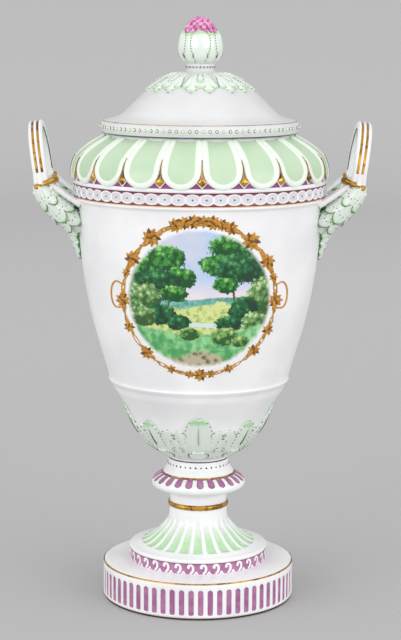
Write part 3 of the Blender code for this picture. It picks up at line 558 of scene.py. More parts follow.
class Sculpt:
    """Gathers closed pieces of mesh, each face with its finish, into one object."""

    def __init__(self):
        self.mesh = bmesh.new()
        self.tints = self.mesh.verts.layers.float.new("tint")

    def vert(self, place, tint=0.0):
        vert = self.mesh.verts.new(place)
        vert[self.tints] = tint
        return vert

    def face(self, verts, slot=0):
        ring = [v for i, v in enumerate(verts) if v is not verts[i - 1]]
        if len(ring) > 2:
            self.mesh.faces.new(ring).material_index = slot

    def skin(self, rows, slot=0, wrap=False, close=False):
        """Faces between rows of vertices; wrap joins each row's ends, close joins the first and last rows."""
        count = len(rows[0])
        pairs = list(zip(rows, rows[1:])) + ([(rows[-1], rows[0])] if close else [])
        for i, (low, high) in enumerate(pairs):
            for j in range(count if wrap else count - 1):
                k = (j + 1) % count
                index = slot(i, j) if callable(slot) else slot
                self.face((low[j], low[k], high[k], high[j]), index)

    def turn(self, outline, columns, relief=None, slot=0):
        """A turned solid from a closed outline; relief(radius, height, turn) gives the carved point."""
        rows = []
        for radius, height in outline:
            if radius < 1e-6:
                rows.append([self.vert((0.0, 0.0, height))] * columns)
                continue
            row = []
            for j in range(columns):
                turn = FRONT + 360 * j / columns
                point = relief(radius, height, turn) if relief else polar(radius, turn, height)
                row.append(self.vert(point))
            rows.append(row)
        self.skin(rows, slot, wrap=True, close=outline[0][0] > 1e-6)

    def slab(self, rows, columns, place, slot=0, tint=None, sink=BOND):
        """A thin closed sheet, sunk into its ground: place(u, v, lift) with u and v from 0 to 1."""
        front, back = [], []
        for i in range(rows + 1):
            v = i / rows
            row = [(j / columns, v) for j in range(columns + 1)]
            front.append([self.vert(place(u, w, 0.0), tint(u, w) if tint else 0.0) for u, w in row])
            back.append([self.vert(place(u, w, -sink)) for u, w in row])
        self.skin(front, slot)
        self.skin([row[::-1] for row in back], slot)
        upper, under = self.rim(front), self.rim(back)
        for a, b, c, d in zip(upper, upper[1:] + upper[:1], under[1:] + under[:1], under):
            self.face((b, a, d, c), slot)

    @staticmethod
    def rim(rows):
        """The vertices round the edge of a sheet, in order."""
        edge = list(rows[0])
        edge += [row[-1] for row in rows[1:]]
        edge += rows[-1][-2::-1]
        edge += [row[0] for row in rows[-2:0:-1]]
        return edge

    def ribbon(self, path, place, width, lift, slot=0, closed=False, sink=BOND):
        """A thin domed line on a surface: path in surface units, width half its breadth, a number or f(t)."""
        count = len(path)
        rows = []
        for i, (a, b) in enumerate(path):
            if closed:
                before, after = path[i - 1], path[(i + 1) % count]
            else:
                before, after = path[max(i - 1, 0)], path[min(i + 1, count - 1)]
            size = math.dist(before, after) or 1.0
            across = (-(after[1] - before[1]) / size, (after[0] - before[0]) / size)
            half = width(i / (count - 1)) if callable(width) else width
            section = ((-1, lift * 0.3), (0, lift), (1, lift * 0.3), (1, -sink), (-1, -sink))
            rows.append([self.vert(place(a + across[0] * half * side, b + across[1] * half * side, rise))
                         for side, rise in section])
        self.skin(rows, slot, wrap=True, close=closed)
        if not closed:
            self.face(rows[0][::-1], slot)
            self.face(rows[-1], slot)

    def tube(self, path, radii, sides, slot=0, flat=1.0, tint=0.0):
        """A round or flattened bar along points in space."""
        rows = []
        for i, point in enumerate(path):
            ahead = heading(path, i)
            side = ahead.cross(Vector((0, 0, 1))).normalized()
            top = side.cross(ahead)
            row = []
            for j in range(sides):
                a = 2 * math.pi * j / sides
                offset = side * math.cos(a) * radii[i] + top * math.sin(a) * radii[i] * flat
                row.append(self.vert(point + offset, tint))
            rows.append(row)
        self.skin(rows, slot, wrap=True)
        self.face(rows[0][::-1], slot)
        self.face(rows[-1], slot)

    def ball(self, centre, out, radius, slot=0, squash=0.7, sides=8):
        """A small bead, flattened along the direction out."""
        out = out.normalized()
        side = out.orthogonal().normalized()
        top = out.cross(side)
        rings = 4
        rows = [[self.vert(centre - out * radius * squash)] * sides]
        for i in range(1, rings):
            lean = math.pi * i / rings
            row = []
            for j in range(sides):
                a = 2 * math.pi * j / sides
                around = (side * math.cos(a) + top * math.sin(a)) * math.sin(lean) * radius
                row.append(self.vert(centre + around - out * math.cos(lean) * radius * squash))
            rows.append(row)
        rows.append([self.vert(centre + out * radius * squash)] * sides)
        self.skin(rows, slot, wrap=True)

    def bead(self, place, across, along, radius, slot=0, squash=0.7, sides=8, lift=0.0):
        """A bead that sits on a surface given by place(across, along, lift)."""
        point = place(across, along, lift)
        self.ball(point, place(across, along, STEP_OFF) - point, radius, slot, squash, sides)

    def finish(self, name, finishes, sharp=45.0, mirror=False):
        """Makes the object, which rides on the frame's only body."""
        bm = self.mesh
        if mirror:
            copy = bmesh.ops.duplicate(bm, geom=bm.verts[:] + bm.edges[:] + bm.faces[:])
            moved = [item for item in copy["geom"] if isinstance(item, bmesh.types.BMVert)]
            bmesh.ops.scale(bm, vec=(-1, 1, 1), verts=moved)
        bmesh.ops.remove_doubles(bm, verts=bm.verts, dist=2e-7)
        bmesh.ops.dissolve_degenerate(bm, dist=1e-7, edges=bm.edges)
        bmesh.ops.recalc_face_normals(bm, faces=bm.faces)
        mesh = bpy.data.meshes.new(name)
        bm.to_mesh(mesh)
        bm.free()
        for finish in finishes:
            mesh.materials.append(finish)
        mesh.shade_smooth()
        mesh.set_sharp_from_angle(angle=math.radians(sharp))
        obj = bpy.data.objects.new(name, mesh)
        bpy.context.scene.collection.objects.link(obj)
        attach(obj, "root")
        return obj


def on(profile):
    """Surface units of a turned outline: metres round it from a turn, and metres along it."""
    def start(turn):
        def place(across, along, lift):
            radius = max(profile.at(along)[0], 0.002)
            return profile.place(along, turn + math.degrees(across / radius), lift)
        return place
    return start


def on_front(across, height, lift):
    """The painted face by its distance to the side and its height, as it looks from in front."""
    along = BODY.along(height)
    radius, _ = BODY.at(along)
    turn = FRONT + math.degrees(math.asin(across / radius))
    return BODY.place(along, turn, lift)


def ring_line(sculpt, profile, along, half, lift=0.00022, slot=0):
    """A line all round a turned piece, half being half its breadth."""
    section = ((-1, lift * 0.3), (0, lift), (1, lift * 0.3), (1, -BOND), (-1, -BOND))
    rows = [[sculpt.vert(profile.place(along + half * side, turn, rise)) for side, rise in section]
            for _, turn in all_round(240)]
    sculpt.skin(rows, slot, wrap=True, close=True)


def ring_field(sculpt, profile, low, high, lift, slot=0, columns=240, rows=3):
    """A coloured field all round a turned piece, from one length along its outline to another."""
    def line(along, out):
        return [sculpt.vert(profile.place(along, turn, out)) for _, turn in all_round(columns)]
    front = [line(blend(low, high, i / rows), lift) for i in range(rows + 1)]
    back = [line(blend(high, low, i / rows), -BOND) for i in range(rows + 1)]
    sculpt.skin(front + back, slot, wrap=True, close=True)


def flute_end(height, low, high, half):
    """0 along a plinth flute, growing to 1 at both its ends: flattened below and round above."""
    blunt = half * FLUTE_BLUNT
    return max(0.0, (low + blunt - height) / blunt, (height - high + half) / half)


def even_ends(v):
    """Steps that gather at both ends of a shape, where its outline turns fastest."""
    return 0.5 - 0.5 * math.cos(math.pi * v)


def count_property(name, description, count, least):
    return IntProperty(name=name, description=description, default=count, min=least)


def length_property(name, description, length):
    return FloatProperty(name=name, description=description, default=length, unit="LENGTH", precision=4)


class VaseSizes(bpy.types.PropertyGroup):
    plinth_flutes: count_property("Plinth flutes", "Purple flutes round the plinth", 64, 8)
    flute_depth: length_property("Flute depth", "Depth of the plinth's flutes", 0.0012)
    wave_curls: count_property("Wave curls", "Running curls round the drum", 34, 4)
    stem_flutes: count_property("Stem flutes", "Green flutes up the stem", 24, 4)
    stem_flute_depth: length_property("Stem flute depth", "Depth of the stem's flutes", 0.0012)
    flange_petals: count_property("Flange petals", "Purple petals on the flange", 24, 4)
    collar_dots: count_property("Collar dots", "Green dots round the collar", 36, 4)
    bowl_leaves: count_property("Bowl leaves", "Big leaves under the bowl", 8, 3)
    bowl_leaf_rise: length_property("Bowl leaf rise", "Height of the bowl's leaves off the wall", 0.0022)
    band_rings: count_property("Band rings", "Interlaced rings round the band", 60, 8)
    tongues: count_property("Tongues", "Tongues round the shoulder", 20, 6)
    picture_half: length_property("Picture radius", "Half the breadth of the painted picture", 0.0625)
    garland_half: length_property("Garland radius", "Half the breadth of the gilt garland", 0.0650)
    rim_beads: count_property("Rim beads", "Beads round the lid's rim", 96, 8)
    lid_leaves: count_property("Lid leaves", "Leaves on the lid's dome", 8, 3)
    lid_leaf_rise: length_property("Lid leaf rise", "Height of the lid's leaves off the dome", 0.0016)
    knob_beads: count_property("Knob beads", "Beads round the knob's neck", 24, 6)
    bud_leaves: count_property("Bud leaves", "Leaves round the bud", 5, 3)


def colour_property(name, description, rgb):
    return FloatVectorProperty(name=name, description=description, default=linear(*rgb),
                               subtype="COLOR", min=0.0, max=1.0)


class VaseColours(bpy.types.PropertyGroup):
    white: colour_property("White glaze", "The porcelain's white", (239, 239, 240))
    shade: colour_property("Shaded glaze", "The white where the glaze pools", (230, 230, 232))
    border: colour_property("Tongue borders", "The greenish white beside the tongues", (226, 235, 224))
    green: colour_property("Green", "Pale green of the tongues and flutes", (189, 212, 182))
    green_deep: colour_property("Deeper green", "The green where it is brushed thicker", (181, 206, 175))
    leaf_white: colour_property("Leaf glaze", "Pale glaze of the leaves", (219, 228, 219))
    leaf_green: colour_property("Leaf green", "Green washed on the leaves", (168, 212, 160))
    leaf_dark: colour_property("Leaf edge", "Dark green of the edges and dots", (62, 104, 58))
    olive: colour_property("Olive", "Painted outlines of beads and leaf edges", (124, 140, 72))
    grey: colour_property("Grey wash", "Inside the rings of the band", (214, 213, 219))
    purple: colour_property("Purple", "Purple of the flutes, petals and waves", (176, 120, 160))
    purple_deep: colour_property("Deeper purple", "The purple where it is brushed thicker", (154, 94, 138))
    shoulder_purple: colour_property("Shoulder purple", "The ground under the tongues", (154, 72, 136))
    band_purple: colour_property("Band purple", "The ground round the band's rings", (150, 76, 116))
    red_line: colour_property("Red-brown line", "Lines beside the band", (116, 46, 62))
    orange_line: colour_property("Orange line", "Pale line under the band", (232, 190, 150))
    # This dark colour paints the joint line, the band's dots and a line at the collar, and also painted shade
    # down each dart's crease and a painted shadow ring under the foot's rim.
    brown_line: colour_property("Dark line", "Joint line, creases and the foot's rim", (74, 48, 34))
    brown_deep: colour_property("Darkest line", "The dark line where it is brushed thicker", (46, 30, 24))
    gold: colour_property("Gold", "Burnished gilding", (198, 152, 66))
    gold_dark: colour_property("Darker gold", "Gilding in its shadows and wear", (110, 74, 18))
    garland: colour_property("Garland gold", "Matt gold of the garland", (204, 148, 50))
    garland_dark: colour_property("Darker garland gold", "Matt gold brushed thin", (162, 106, 20))
    garland_line: colour_property("Garland shadow", "Shaded petals of the garland", (128, 80, 14))
    garland_deep: colour_property("Garland depth", "Shaded petals brushed thicker", (86, 52, 6))
    berry: colour_property("Berry pink", "The berries of the knob", (238, 172, 212))
    berry_dark: colour_property("Darker pink", "The berries' shadows", (190, 104, 156))
    # The paper's own grey; the stage paints shade onto it near the front and higher up.
    floor: colour_property("Floor", "The plain floor and backdrop", (195, 195, 195))


def finishes(context):
    """The materials, made once and shared by all the pieces."""
    colours = context.scene.vase_colours
    enamels = {
        "white_glaze": (colours.white, colours.shade, 22.0),
        # The lid's white, darkened as painted shade against the stronger light on the lid.
        "lid_glaze": (darker(colours.white, LID_PAINTED_SHADE), darker(colours.shade, LID_PAINTED_SHADE), 22.0),
        "border_glaze": (colours.border, colours.border, 22.0),
        "green_glaze": (colours.green, colours.green_deep, 30.0),
        "flute_green": (colours.leaf_green, darker(colours.leaf_green, 0.6), 200.0),
        "purple_enamel": (colours.purple, colours.purple_deep, 140.0),
        "shoulder_ground": (colours.shoulder_purple, darker(colours.shoulder_purple, 0.8), 140.0),
        "band_ground": (colours.band_purple, darker(colours.band_purple, 0.8), 140.0),
        "red_brown_line": (colours.red_line, darker(colours.red_line, 0.7), 200.0),
        "orange_line": (colours.orange_line, darker(colours.orange_line, 0.8), 200.0),
        "dark_green_dots": (colours.leaf_dark, darker(colours.leaf_dark, 0.6), 300.0),
        "olive_dots": (colours.olive, darker(colours.olive, 0.6), 300.0),
        "grey_wash": (colours.grey, darker(colours.grey, 0.9), 120.0),
        "dark_brown_line": (colours.brown_line, colours.brown_deep, 200.0),
        "berry_pink": (colours.berry, colours.berry_dark, 260.0),
        "flat_gold": (colours.garland, colours.garland_dark, 420.0, 0.34),
        "flat_gold_shadow": (colours.garland_line, colours.garland_deep, 420.0, 0.34),
    }

    def make(name):
        if name == "leaf_glaze":
            return leaf_enamel(name, colours.leaf_white, colours.leaf_green, colours.leaf_dark)
        if name == "gilding":
            return gilt(name, colours.gold, colours.gold_dark)
        return enamel(name, *enamels[name])

    def get(*names):
        return [bpy.data.materials.get(name) or make(name) for name in names]
    return get


def settle(obj, slot, *nodes):
    """Hides the frame's solids that a finished piece stands for; slot is not used."""
    if nodes:
        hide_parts(*nodes)


class VASE_OT_stage(bpy.types.Operator):
    """Floor, backdrop, soft lights and the photograph's camera"""
    bl_idname = "vase.stage"
    bl_label = "Stage"

    def execute(self, context):
        colours = context.scene.vase_colours
        outline = straight((PAPER_NEAR, 0.0), (PAPER_FAR, 0.0), 6)
        outline += arc((PAPER_FAR, PAPER_COVE), (PAPER_COVE, PAPER_COVE), -90, 0, 12)[1:]
        outline += [(PAPER_FAR + PAPER_COVE, PAPER_HIGH)]
        mesh = bpy.data.meshes.new("backdrop")
        verts = [(side * PAPER_HALF, y, z) for y, z in outline for side in (-1, 1)]
        faces = [(2 * i, 2 * i + 1, 2 * i + 3, 2 * i + 2) for i in range(len(outline) - 1)]
        mesh.from_pydata(verts, [], faces)
        mesh.shade_smooth()
        paper = Finish("backdrop_paper", Roughness=0.9, Specular_IOR_Level=0.1)
        _, away, up = paper.axes()
        # Painted shade: the paper is darkened to 0.84 near the front and to 0.96 higher up, evening out how
        # the lamps light it.
        sheet = paper.mix(darker(colours.floor, 0.84), colours.floor, away.step(-0.6, 2.4))
        sheet = paper.mix(sheet, darker(colours.floor, 0.96), up.step(0.1, 0.6))
        paper.paint(paper.mix(sheet, colours.floor, paper.noise(3.0) * 0.04))
        mesh.materials.append(paper.material)
        backdrop = bpy.data.objects.new("backdrop", mesh)
        context.scene.collection.objects.link(backdrop)

        world = bpy.data.worlds.new("studio")
        world.use_nodes = True
        ground = world.node_tree.nodes["Background"]
        ground.inputs["Color"].default_value = (1.0, 1.0, 1.0, 1.0)
        ground.inputs["Strength"].default_value = 0.98
        context.scene.world = world
        context.scene.view_settings.view_transform = "Standard"

        for name, place, power in (("key", (-2.5, -2.3, 1.20), 43.0), ("fill", (2.6, -2.2, 1.10), 44.0)):
            light = bpy.data.lights.new(name, "AREA")
            light.shape = "RECTANGLE"
            light.size = LAMP_WIDE
            light.size_y = LAMP_WIDE / 2
            light.energy = power
            lamp = bpy.data.objects.new(name, light)
            lamp.location = place
            aim = Vector((0.0, 0.0, 0.28)) - Vector(place)
            lamp.rotation_euler = aim.to_track_quat("-Z", "Y").to_euler()
            context.scene.collection.objects.link(lamp)

        lens = bpy.data.cameras.new("photograph")
        lens.sensor_width = 36.0
        lens.lens = CAMERA_LENS
        lens.shift_x = OBJECT_LEFT / FRAME_TALL
        lens.clip_end = 50.0
        camera = bpy.data.objects.new("photograph", lens)
        tilt = Matrix.Rotation(math.radians(90 - CAMERA_PITCH), 4, "X")
        camera.matrix_world = Matrix.Translation(CAMERA_PLACE) @ tilt @ Matrix.Rotation(
            math.radians(CAMERA_ROLL), 4, "Z")
        context.scene.collection.objects.link(camera)
        context.scene.camera = camera
        return {"FINISHED"}


class VASE_OT_plinth(bpy.types.Operator):
    """Round plinth with its purple flutes, gilt edge line and the drum's running waves"""
    bl_idname = "vase.plinth"
    bl_label = "Plinth"

    def execute(self, context):
        sizes = context.scene.vase_sizes
        get = finishes(context)
        pitch = 360 / sizes.plinth_flutes

        def dip(height, turn):
            """Depth of the flutes at a place on the plinth's side."""
            away = (turn - FRONT - FLUTE_PHASE + pitch / 2) % pitch - pitch / 2
            reach = math.hypot(math.radians(away) * PLINTH_RADIUS / FLUTE_HALF,
                               flute_end(height, FLUTE_LOW, FLUTE_HIGH, FLUTE_HALF))
            return sizes.flute_depth * math.sqrt(max(1.0 - reach ** 2, 0.0))

        def carved(radius, height, turn):
            outside = radius >= PLINTH_RADIUS - 1e-5
            return polar(radius - dip(height, turn) if outside else radius, turn, height)

        inner = PLINTH_RADIUS - PLINTH_WALL
        outline = [(inner, 0.0), (inner, PLINTH_HOLLOW_TOP), (DRUM_HOLLOW, PLINTH_HOLLOW_TOP)]
        outline += [(DRUM_HOLLOW, PLINTH_TOP + 0.0004), (DRUM_RADIUS + 0.0004, DRUM_LOW)]
        outline += [(PLINTH_RADIUS - 0.0040, PLINTH_TOP + 0.0003), (PLINTH_RADIUS - 0.0010, PLINTH_TOP)]
        outline += [(PLINTH_RADIUS - 0.0003, PLINTH_TOP - 0.0003)]
        heights = [PLINTH_TOP - 0.0009]
        heights += [blend(FLUTE_HIGH + 0.0004, FLUTE_HIGH - FLUTE_HALF, i / 6) for i in range(7)]
        heights += [blend(FLUTE_HIGH - FLUTE_HALF, FLUTE_LOW + 0.0012, i / 3) for i in range(1, 4)]
        heights += [FLUTE_LOW + 0.0005, FLUTE_LOW - 0.0002, 0.0027]
        outline += [(PLINTH_RADIUS, height) for height in heights]
        outline += [(PLINTH_RADIUS - 0.0007, 0.0019), (PLINTH_RADIUS - PLINTH_RECESS + 0.0002, 0.0018)]
        outline += [(PLINTH_RADIUS - PLINTH_RECESS, 0.0)]
        base = Sculpt()
        base.turn(outline, sizes.plinth_flutes * 12, carved)
        settle(base.finish("plinth", get("white_glaze")), "porcelain_foot", "foot")

        paint = Sculpt()
        low, high, half = FLUTE_LOW + 0.0001, FLUTE_HIGH - 0.0002, FLUTE_HALF * 0.94
        for k in range(sizes.plinth_flutes):
            middle = FRONT + FLUTE_PHASE + k * pitch

            def place(u, v, lift, middle=middle):
                height = blend(low, high, even_ends(v))
                breadth = half * math.sqrt(1.0 - min(flute_end(height, low, high, half), 1.0) ** 2)
                turn = middle + math.degrees((2 * u - 1) * max(breadth, 1e-5) / PLINTH_RADIUS)
                return polar(PLINTH_RADIUS - dip(height, turn) + 0.0001 + lift, turn, height)
            paint.slab(16, 6, place)
        settle(paint.finish("plinth_flute_paint", get("purple_enamel")), "porcelain_foot")

        gold = Sculpt()
        edge = Profile([(PLINTH_RADIUS + 0.0001, PLINTH_TOP - 0.0014),
                        (PLINTH_RADIUS - 0.0004, PLINTH_TOP - 0.0003),
                        (PLINTH_RADIUS - 0.0012, PLINTH_TOP + 0.0001)])
        ring_line(gold, edge, edge.length * 0.55, 0.0008, 0.0003)
        ring_line(gold, STEM, STEM.along(DRUM_TOP - 0.0003), 0.0004, slot=1)
        # Painted shadow: a dark ring filling the recess under the plinth's edge, for the contact shadow
        # there.
        inner, outer = PLINTH_RADIUS - PLINTH_RECESS - 0.0002, PLINTH_RADIUS - 0.0011
        gold.turn([(inner, 0.0003), (inner, 0.0020), (outer, 0.0020), (outer, 0.0003)], 240, slot=2)
        settle(gold.finish("plinth_lines", get("gilding", "red_brown_line", "dark_brown_line")), "gilding")

        waves = Sculpt()
        step = 2 * math.pi * DRUM_RADIUS / sizes.wave_curls
        tall = DRUM_TOP - DRUM_LOW
        start = STEM.along(DRUM_LOW + 0.0004)
        ring_field(waves, STEM, start, STEM.along(DRUM_TOP - 0.0004), 0.00008, 0, sizes.wave_curls * 8)
        curl = smooth_line([
            (0.26, 0.62), (0.30, 0.78), (0.44, 0.84), (0.58, 0.74), (0.64, 0.56), (0.62, 0.36), (0.54, 0.18),
            (0.38, 0.05)], 22)
        breadths = smooth_line([(w,) for w in (0.12, 0.12, 0.11, 0.12, 0.13, 0.13, 0.12, 0.08)], 100)
        crest = smooth_line([
            (0.70, 0.00), (0.78, 0.08), (0.84, 0.20), (0.88, 0.30), (0.94, 0.14), (1.04, 0.00)], 14)
        for _, turn in all_round(sizes.wave_curls):
            place = on(STEM)(turn)
            waves.ribbon([(a * step, start + b * tall) for a, b in curl], place,
                         lambda t: breadths[int(t * 100)][0] * tall * 0.85, 0.00035, 1)
            waves.bead(place, 0.27 * step, start + 0.62 * tall, 0.0015, 1, 0.26, 12)
            waves.ribbon([(a * step, start + b * tall * 0.7) for a, b in crest], place,
                         lambda t: (0.04 + 0.04 * math.sin(math.pi * t)) * tall, 0.0003, 1)
        settle(waves.finish("drum_waves", get("purple_enamel", "white_glaze")), "porcelain_foot")
        return {"FINISHED"}


class VASE_OT_stem(bpy.types.Operator):
    """Drum, flared and fluted stem, gilt ring, petalled flange and dotted collar"""
    bl_idname = "vase.stem"
    bl_label = "Stem"

    def execute(self, context):
        sizes = context.scene.vase_sizes
        get = finishes(context)
        pitch = 360 / sizes.stem_flutes

        def dip(height, turn):
            """Depth of the flutes at a place on the flare."""
            if not STEM_FLUTE_LOW < height < STEM_FLUTE_HIGH:
                return 0.0
            away = (turn - FRONT + pitch / 2) % pitch - pitch / 2
            share = min(abs(away) / (pitch * STEM_FLUTE_SHARE), 1.0)
            fade = ease(STEM_FLUTE_HIGH, STEM_FLUTE_HIGH - 0.010, height)
            fade *= ease(STEM_FLUTE_LOW, STEM_FLUTE_LOW + 0.0012, height)
            return sizes.stem_flute_depth * fade * math.sqrt(1.0 - share * share)

        def carved(radius, height, turn):
            fluted = STEM_FLUTE_LOW < height < STEM_FLUTE_HIGH and radius >= STEM.radius(height) - 1e-4
            if not fluted:
                return polar(radius, turn, height)
            return STEM.place(STEM.along(height), turn, -dip(height, turn))

        hollow = [(0.0, 0.0800), (0.0151, 0.0781), (0.0189, 0.0700), (0.0236, 0.0581), (0.0425, 0.0424)]
        outline = hollow + [(DRUM_HOLLOW, PLINTH_HOLLOW_TOP), *STEM.points]
        outline += [(FOOT_TOP_RADIUS - 0.0008, FOOT_TOP), (0.0, FOOT_TOP)]
        base = Sculpt()
        base.turn(outline, sizes.stem_flutes * 14, carved)
        settle(base.finish("stem", get("white_glaze"), sharp=50), "porcelain_foot", "foot")

        paint = Sculpt()
        low, high = STEM.along(STEM_FLUTE_LOW + 0.0003), STEM.along(STEM_FLUTE_HIGH - 0.001)
        for _, middle in all_round(sizes.stem_flutes):
            def place(u, v, lift, middle=middle):
                along = blend(low, high, v)
                height = STEM.at(along)[1]
                narrow = blend(0.92, 0.45, ease(0.55, 1.0, v))
                turn = middle + (2 * u - 1) * pitch * STEM_FLUTE_SHARE * narrow
                return STEM.place(along, turn, 0.0001 + lift - dip(height, turn))
            paint.slab(26, 6, place, tint=lambda u, v: 0.34 * (1 - ease(0.35, 1.0, v)) + 0.14)
        settle(paint.finish("stem_flute_paint", get("leaf_glaze")), "porcelain_foot")

        petals = Sculpt()
        pitch = 360 / sizes.flange_petals
        low, high = STEM.along(PETAL_LOW), STEM.along(COLLAR_LOW - 0.0002)
        for k in range(sizes.flange_petals):
            middle = FRONT + PETAL_PHASE + k * pitch

            def shape(grow, out, middle=middle):
                def place(u, v, lift):
                    along = blend(low - grow, high, v)
                    half = (0.0031 + grow) * math.sqrt(1 - max(1 - v / 0.38, 0.0) ** 2) * blend(1.0, 0.66, v)
                    turn = middle + math.degrees((2 * u - 1) * half / STEM.at(along)[0])
                    return STEM.place(along, turn, out * (1 - (2 * u - 1) ** 2) + 0.0001 + lift)
                return place
            petals.slab(12, 5, shape(0.00045, 0.0001), 1)
            petals.slab(12, 5, shape(0.0, 0.0005), 0)
        settle(petals.finish("flange_petals", get("purple_enamel", "red_brown_line")), "porcelain_foot")

        gold = Sculpt()
        low, high = STEM.along(STEM_RING - 0.0021), STEM.along(STEM_RING + 0.0021)
        ring_field(gold, STEM, low, high, 0.0003, rows=10)
        ring_line(gold, STEM, STEM.along(COLLAR_LOW + 0.0006), 0.0006, 0.0003)
        ring_line(gold, STEM, STEM.along(COLLAR_LOW - 0.0003), 0.0005, 0.0003, slot=1)
        settle(gold.finish("stem_gilding", get("gilding", "dark_brown_line")), "gilding")

        dots = Sculpt()
        for k, turn in all_round(sizes.collar_dots, 0.5):
            dots.bead(on(STEM)(turn), 0.0, STEM.along(COLLAR_DOTS), 0.00095 if k % 3 else 0.0008, 0, 0.5)
        settle(dots.finish("collar_dots", get("dark_green_dots")), "porcelain_foot")
        return {"FINISHED"}


class VASE_OT_body(bpy.types.Operator):
    """Hollow body with its bowl, ridge, wall and mouth"""
    bl_idname = "vase.body"
    bl_label = "Body"

    def execute(self, context):
        get = finishes(context)
        outer = []
        for mark, (_, height) in zip(BODY.marks, BODY.points):
            shoulder = ease(SHOULDER_LOW - 0.0006, SHOULDER_LOW + 0.0004, height)
            outer.append(BODY.sunk(mark, TONGUE_GROUND * shoulder))
        floor = BOWL_LOW + 0.0072
        inner = [(0.0, floor), (0.0140, floor + 0.0008), (0.0262, floor + 0.0030)]
        for height in (0.1500, 0.1590, 0.1700, 0.1850, 0.2021, 0.2240, 0.2515, 0.2900, 0.3306, 0.3600, 0.3760,
                       0.3850):
            inner.append(BODY.sunk(BODY.along(height), WALL))
        inner += [(0.1050, 0.3942), (0.0973, 0.4025), (0.0840, 0.4080), (MOUTH_RADIUS, 0.4110)]
        rim = [(MOUTH_RADIUS, SHOULDER_TOP - 0.0006), (MOUTH_RADIUS + 0.0006, SHOULDER_TOP)]
        rim += [(SEAT_RADIUS - 0.0012, SHOULDER_TOP), (SEAT_RADIUS - 0.0003, SHOULDER_TOP - 0.0006)]
        base = Sculpt()
        base.turn([(0.0, BOWL_LOW)] + outer + rim[::-1] + inner[::-1], 240)
        settle(base.finish("vase_body", get("white_glaze")), "porcelain_body", "body")
        return {"FINISHED"}


class VASE_OT_shoulder(bpy.types.Operator):
    """Tongues with green panels and white borders, gilt darts and the purple ground"""
    bl_idname = "vase.shoulder"
    bl_label = "Shoulder"

    def execute(self, context):
        sizes = context.scene.vase_sizes
        get = finishes(context)
        pitch = 360 / sizes.tongues
        low = BODY.along(SHOULDER_LOW - 0.0004)
        top = BODY.length - 0.0002
        bend_outer, bend_panel = low + 0.0170, low + 0.0160

        def half_outer(along):
            return BODY.at(along)[0] * math.radians(pitch / 2)

        def half_panel(along):
            return half_outer(along) - blend(BORDER_WIDTH, BORDER_WIDTH * 0.70, (along - low) / (top - low))

        def edge(t, half, bend, end):
            """A tongue's outline, t from 0 to 1: down one side, round its end and up the other side."""
            side_share = 0.32
            if t < side_share or t > 1 - side_share:
                share = t / side_share if t < 0.5 else (1 - t) / side_share
                along = blend(top, bend, share)
                return half(along) * (-1 if t < 0.5 else 1), along
            a = math.pi * (t - side_share) / (1 - 2 * side_share)
            return -half(bend) * math.cos(a), bend - (bend - end) * math.sin(a)

        ribs = 44
        outer = [edge(k / ribs, half_outer, bend_outer, low) for k in range(ribs + 1)]
        panel = [edge(k / ribs, half_panel, bend_panel, low + BORDER_WIDTH * 0.76) for k in range(ribs + 1)]

        tongues = Sculpt()
        for _, turn in all_round(sizes.tongues, 0.5):
            place = on(BODY)(turn + TONGUE_PHASE)

            def border(u, v, lift, place=place):
                a, b = panel[round(v * ribs)], outer[round(v * ribs)]
                across, along = blend(a[0], b[0], u), blend(a[1], b[1], u)
                rise = 0.0006 * math.sin(math.pi * min(u * 0.9 + 0.08, 1.0)) ** 0.7
                joined = ease(bend_outer - 0.004, bend_outer + 0.004, along)
                valley = blend(TONGUE_GROUND + 0.0002, 0.0002, joined) * ease(0.80, 1.0, u) ** 2
                return place(across, along, rise - PANEL_SINK * 0.5 * (1 - u) ** 3 - valley + lift)
            tongues.slab(ribs, 7, border, 0, sink=0.0030)

            def inside(u, v, lift, place=place):
                k = ribs / 2 * v
                i = min(int(k), ribs // 2 - 1)
                left = [blend(panel[i][m], panel[i + 1][m], k - i) for m in (0, 1)]
                across = blend(left[0], -left[0], u)
                deep = 1.0 - (2 * u - 1) ** 2
                deep *= min(1.0, (1 - v) * 5.0)
                return place(across, left[1], -PANEL_SINK * (0.42 + 0.58 * deep) + lift)
            tongues.slab(ribs // 2, 10, inside, 1, sink=0.0020)
        settle(tongues.finish("shoulder_tongues", get("border_glaze", "green_glaze")), "porcelain_body")

        ground = Sculpt()
        field = Profile([BODY.sunk(mark, TONGUE_GROUND) for mark, (_, height) in zip(BODY.marks, BODY.points)
                         if height > SHOULDER_LOW - 0.0004])
        ring_field(ground, field, 0.0002, field.along(SHOULDER_LOW + 0.0075), 0.0003, rows=4)
        settle(ground.finish("shoulder_ground", get("shoulder_ground")), "porcelain_body")

        darts = Sculpt()
        steps = 40
        spine = smooth_line([
            (0.4025, 0.0003), (0.3960, 0.0004), (0.3910, 0.0006), (0.3880, 0.0010), (0.3862, 0.0021),
            (0.3850, 0.0034), (0.3843, 0.0040), (0.3834, 0.0032), (0.3820, 0.0017), (0.3806, 0.0002)], steps)
        # Painted shade: the crease is a dark line down the middle of each dart, where its groove is shaded.
        crease = [(0.0, BODY.along(height)) for height in (0.3990, 0.3950, 0.3910, 0.3880, 0.3855, 0.3838)]
        for _, turn in all_round(sizes.tongues):
            place = on(BODY)(turn + TONGUE_PHASE)

            def dart(u, v, lift, place=place):
                height, half = spine[round(v * steps)]
                ridge = 0.0008 * (1 - abs(2 * u - 1)) * min(half / 0.0015, 1.0)
                return place((2 * u - 1) * max(half, 0.0002), BODY.along(height), ridge + 0.0004 + lift)
            darts.slab(steps, 4, dart, 0, sink=0.0014)
            darts.ribbon(crease, place, lambda t: 0.0002 + 0.0005 * t, 0.0011, 2)

            def backing(u, v, lift, place=place):
                height = blend(0.3846, 0.3793, v)
                half = blend(0.0052, 0.0003, v)
                return place((2 * u - 1) * half, BODY.along(height), lift + 0.0001)
            darts.slab(6, 4, backing, 1, sink=0.0012)
        settle(darts.finish("shoulder_darts", get("gilding", "white_glaze", "dark_brown_line")), "gilding")
        return {"FINISHED"}


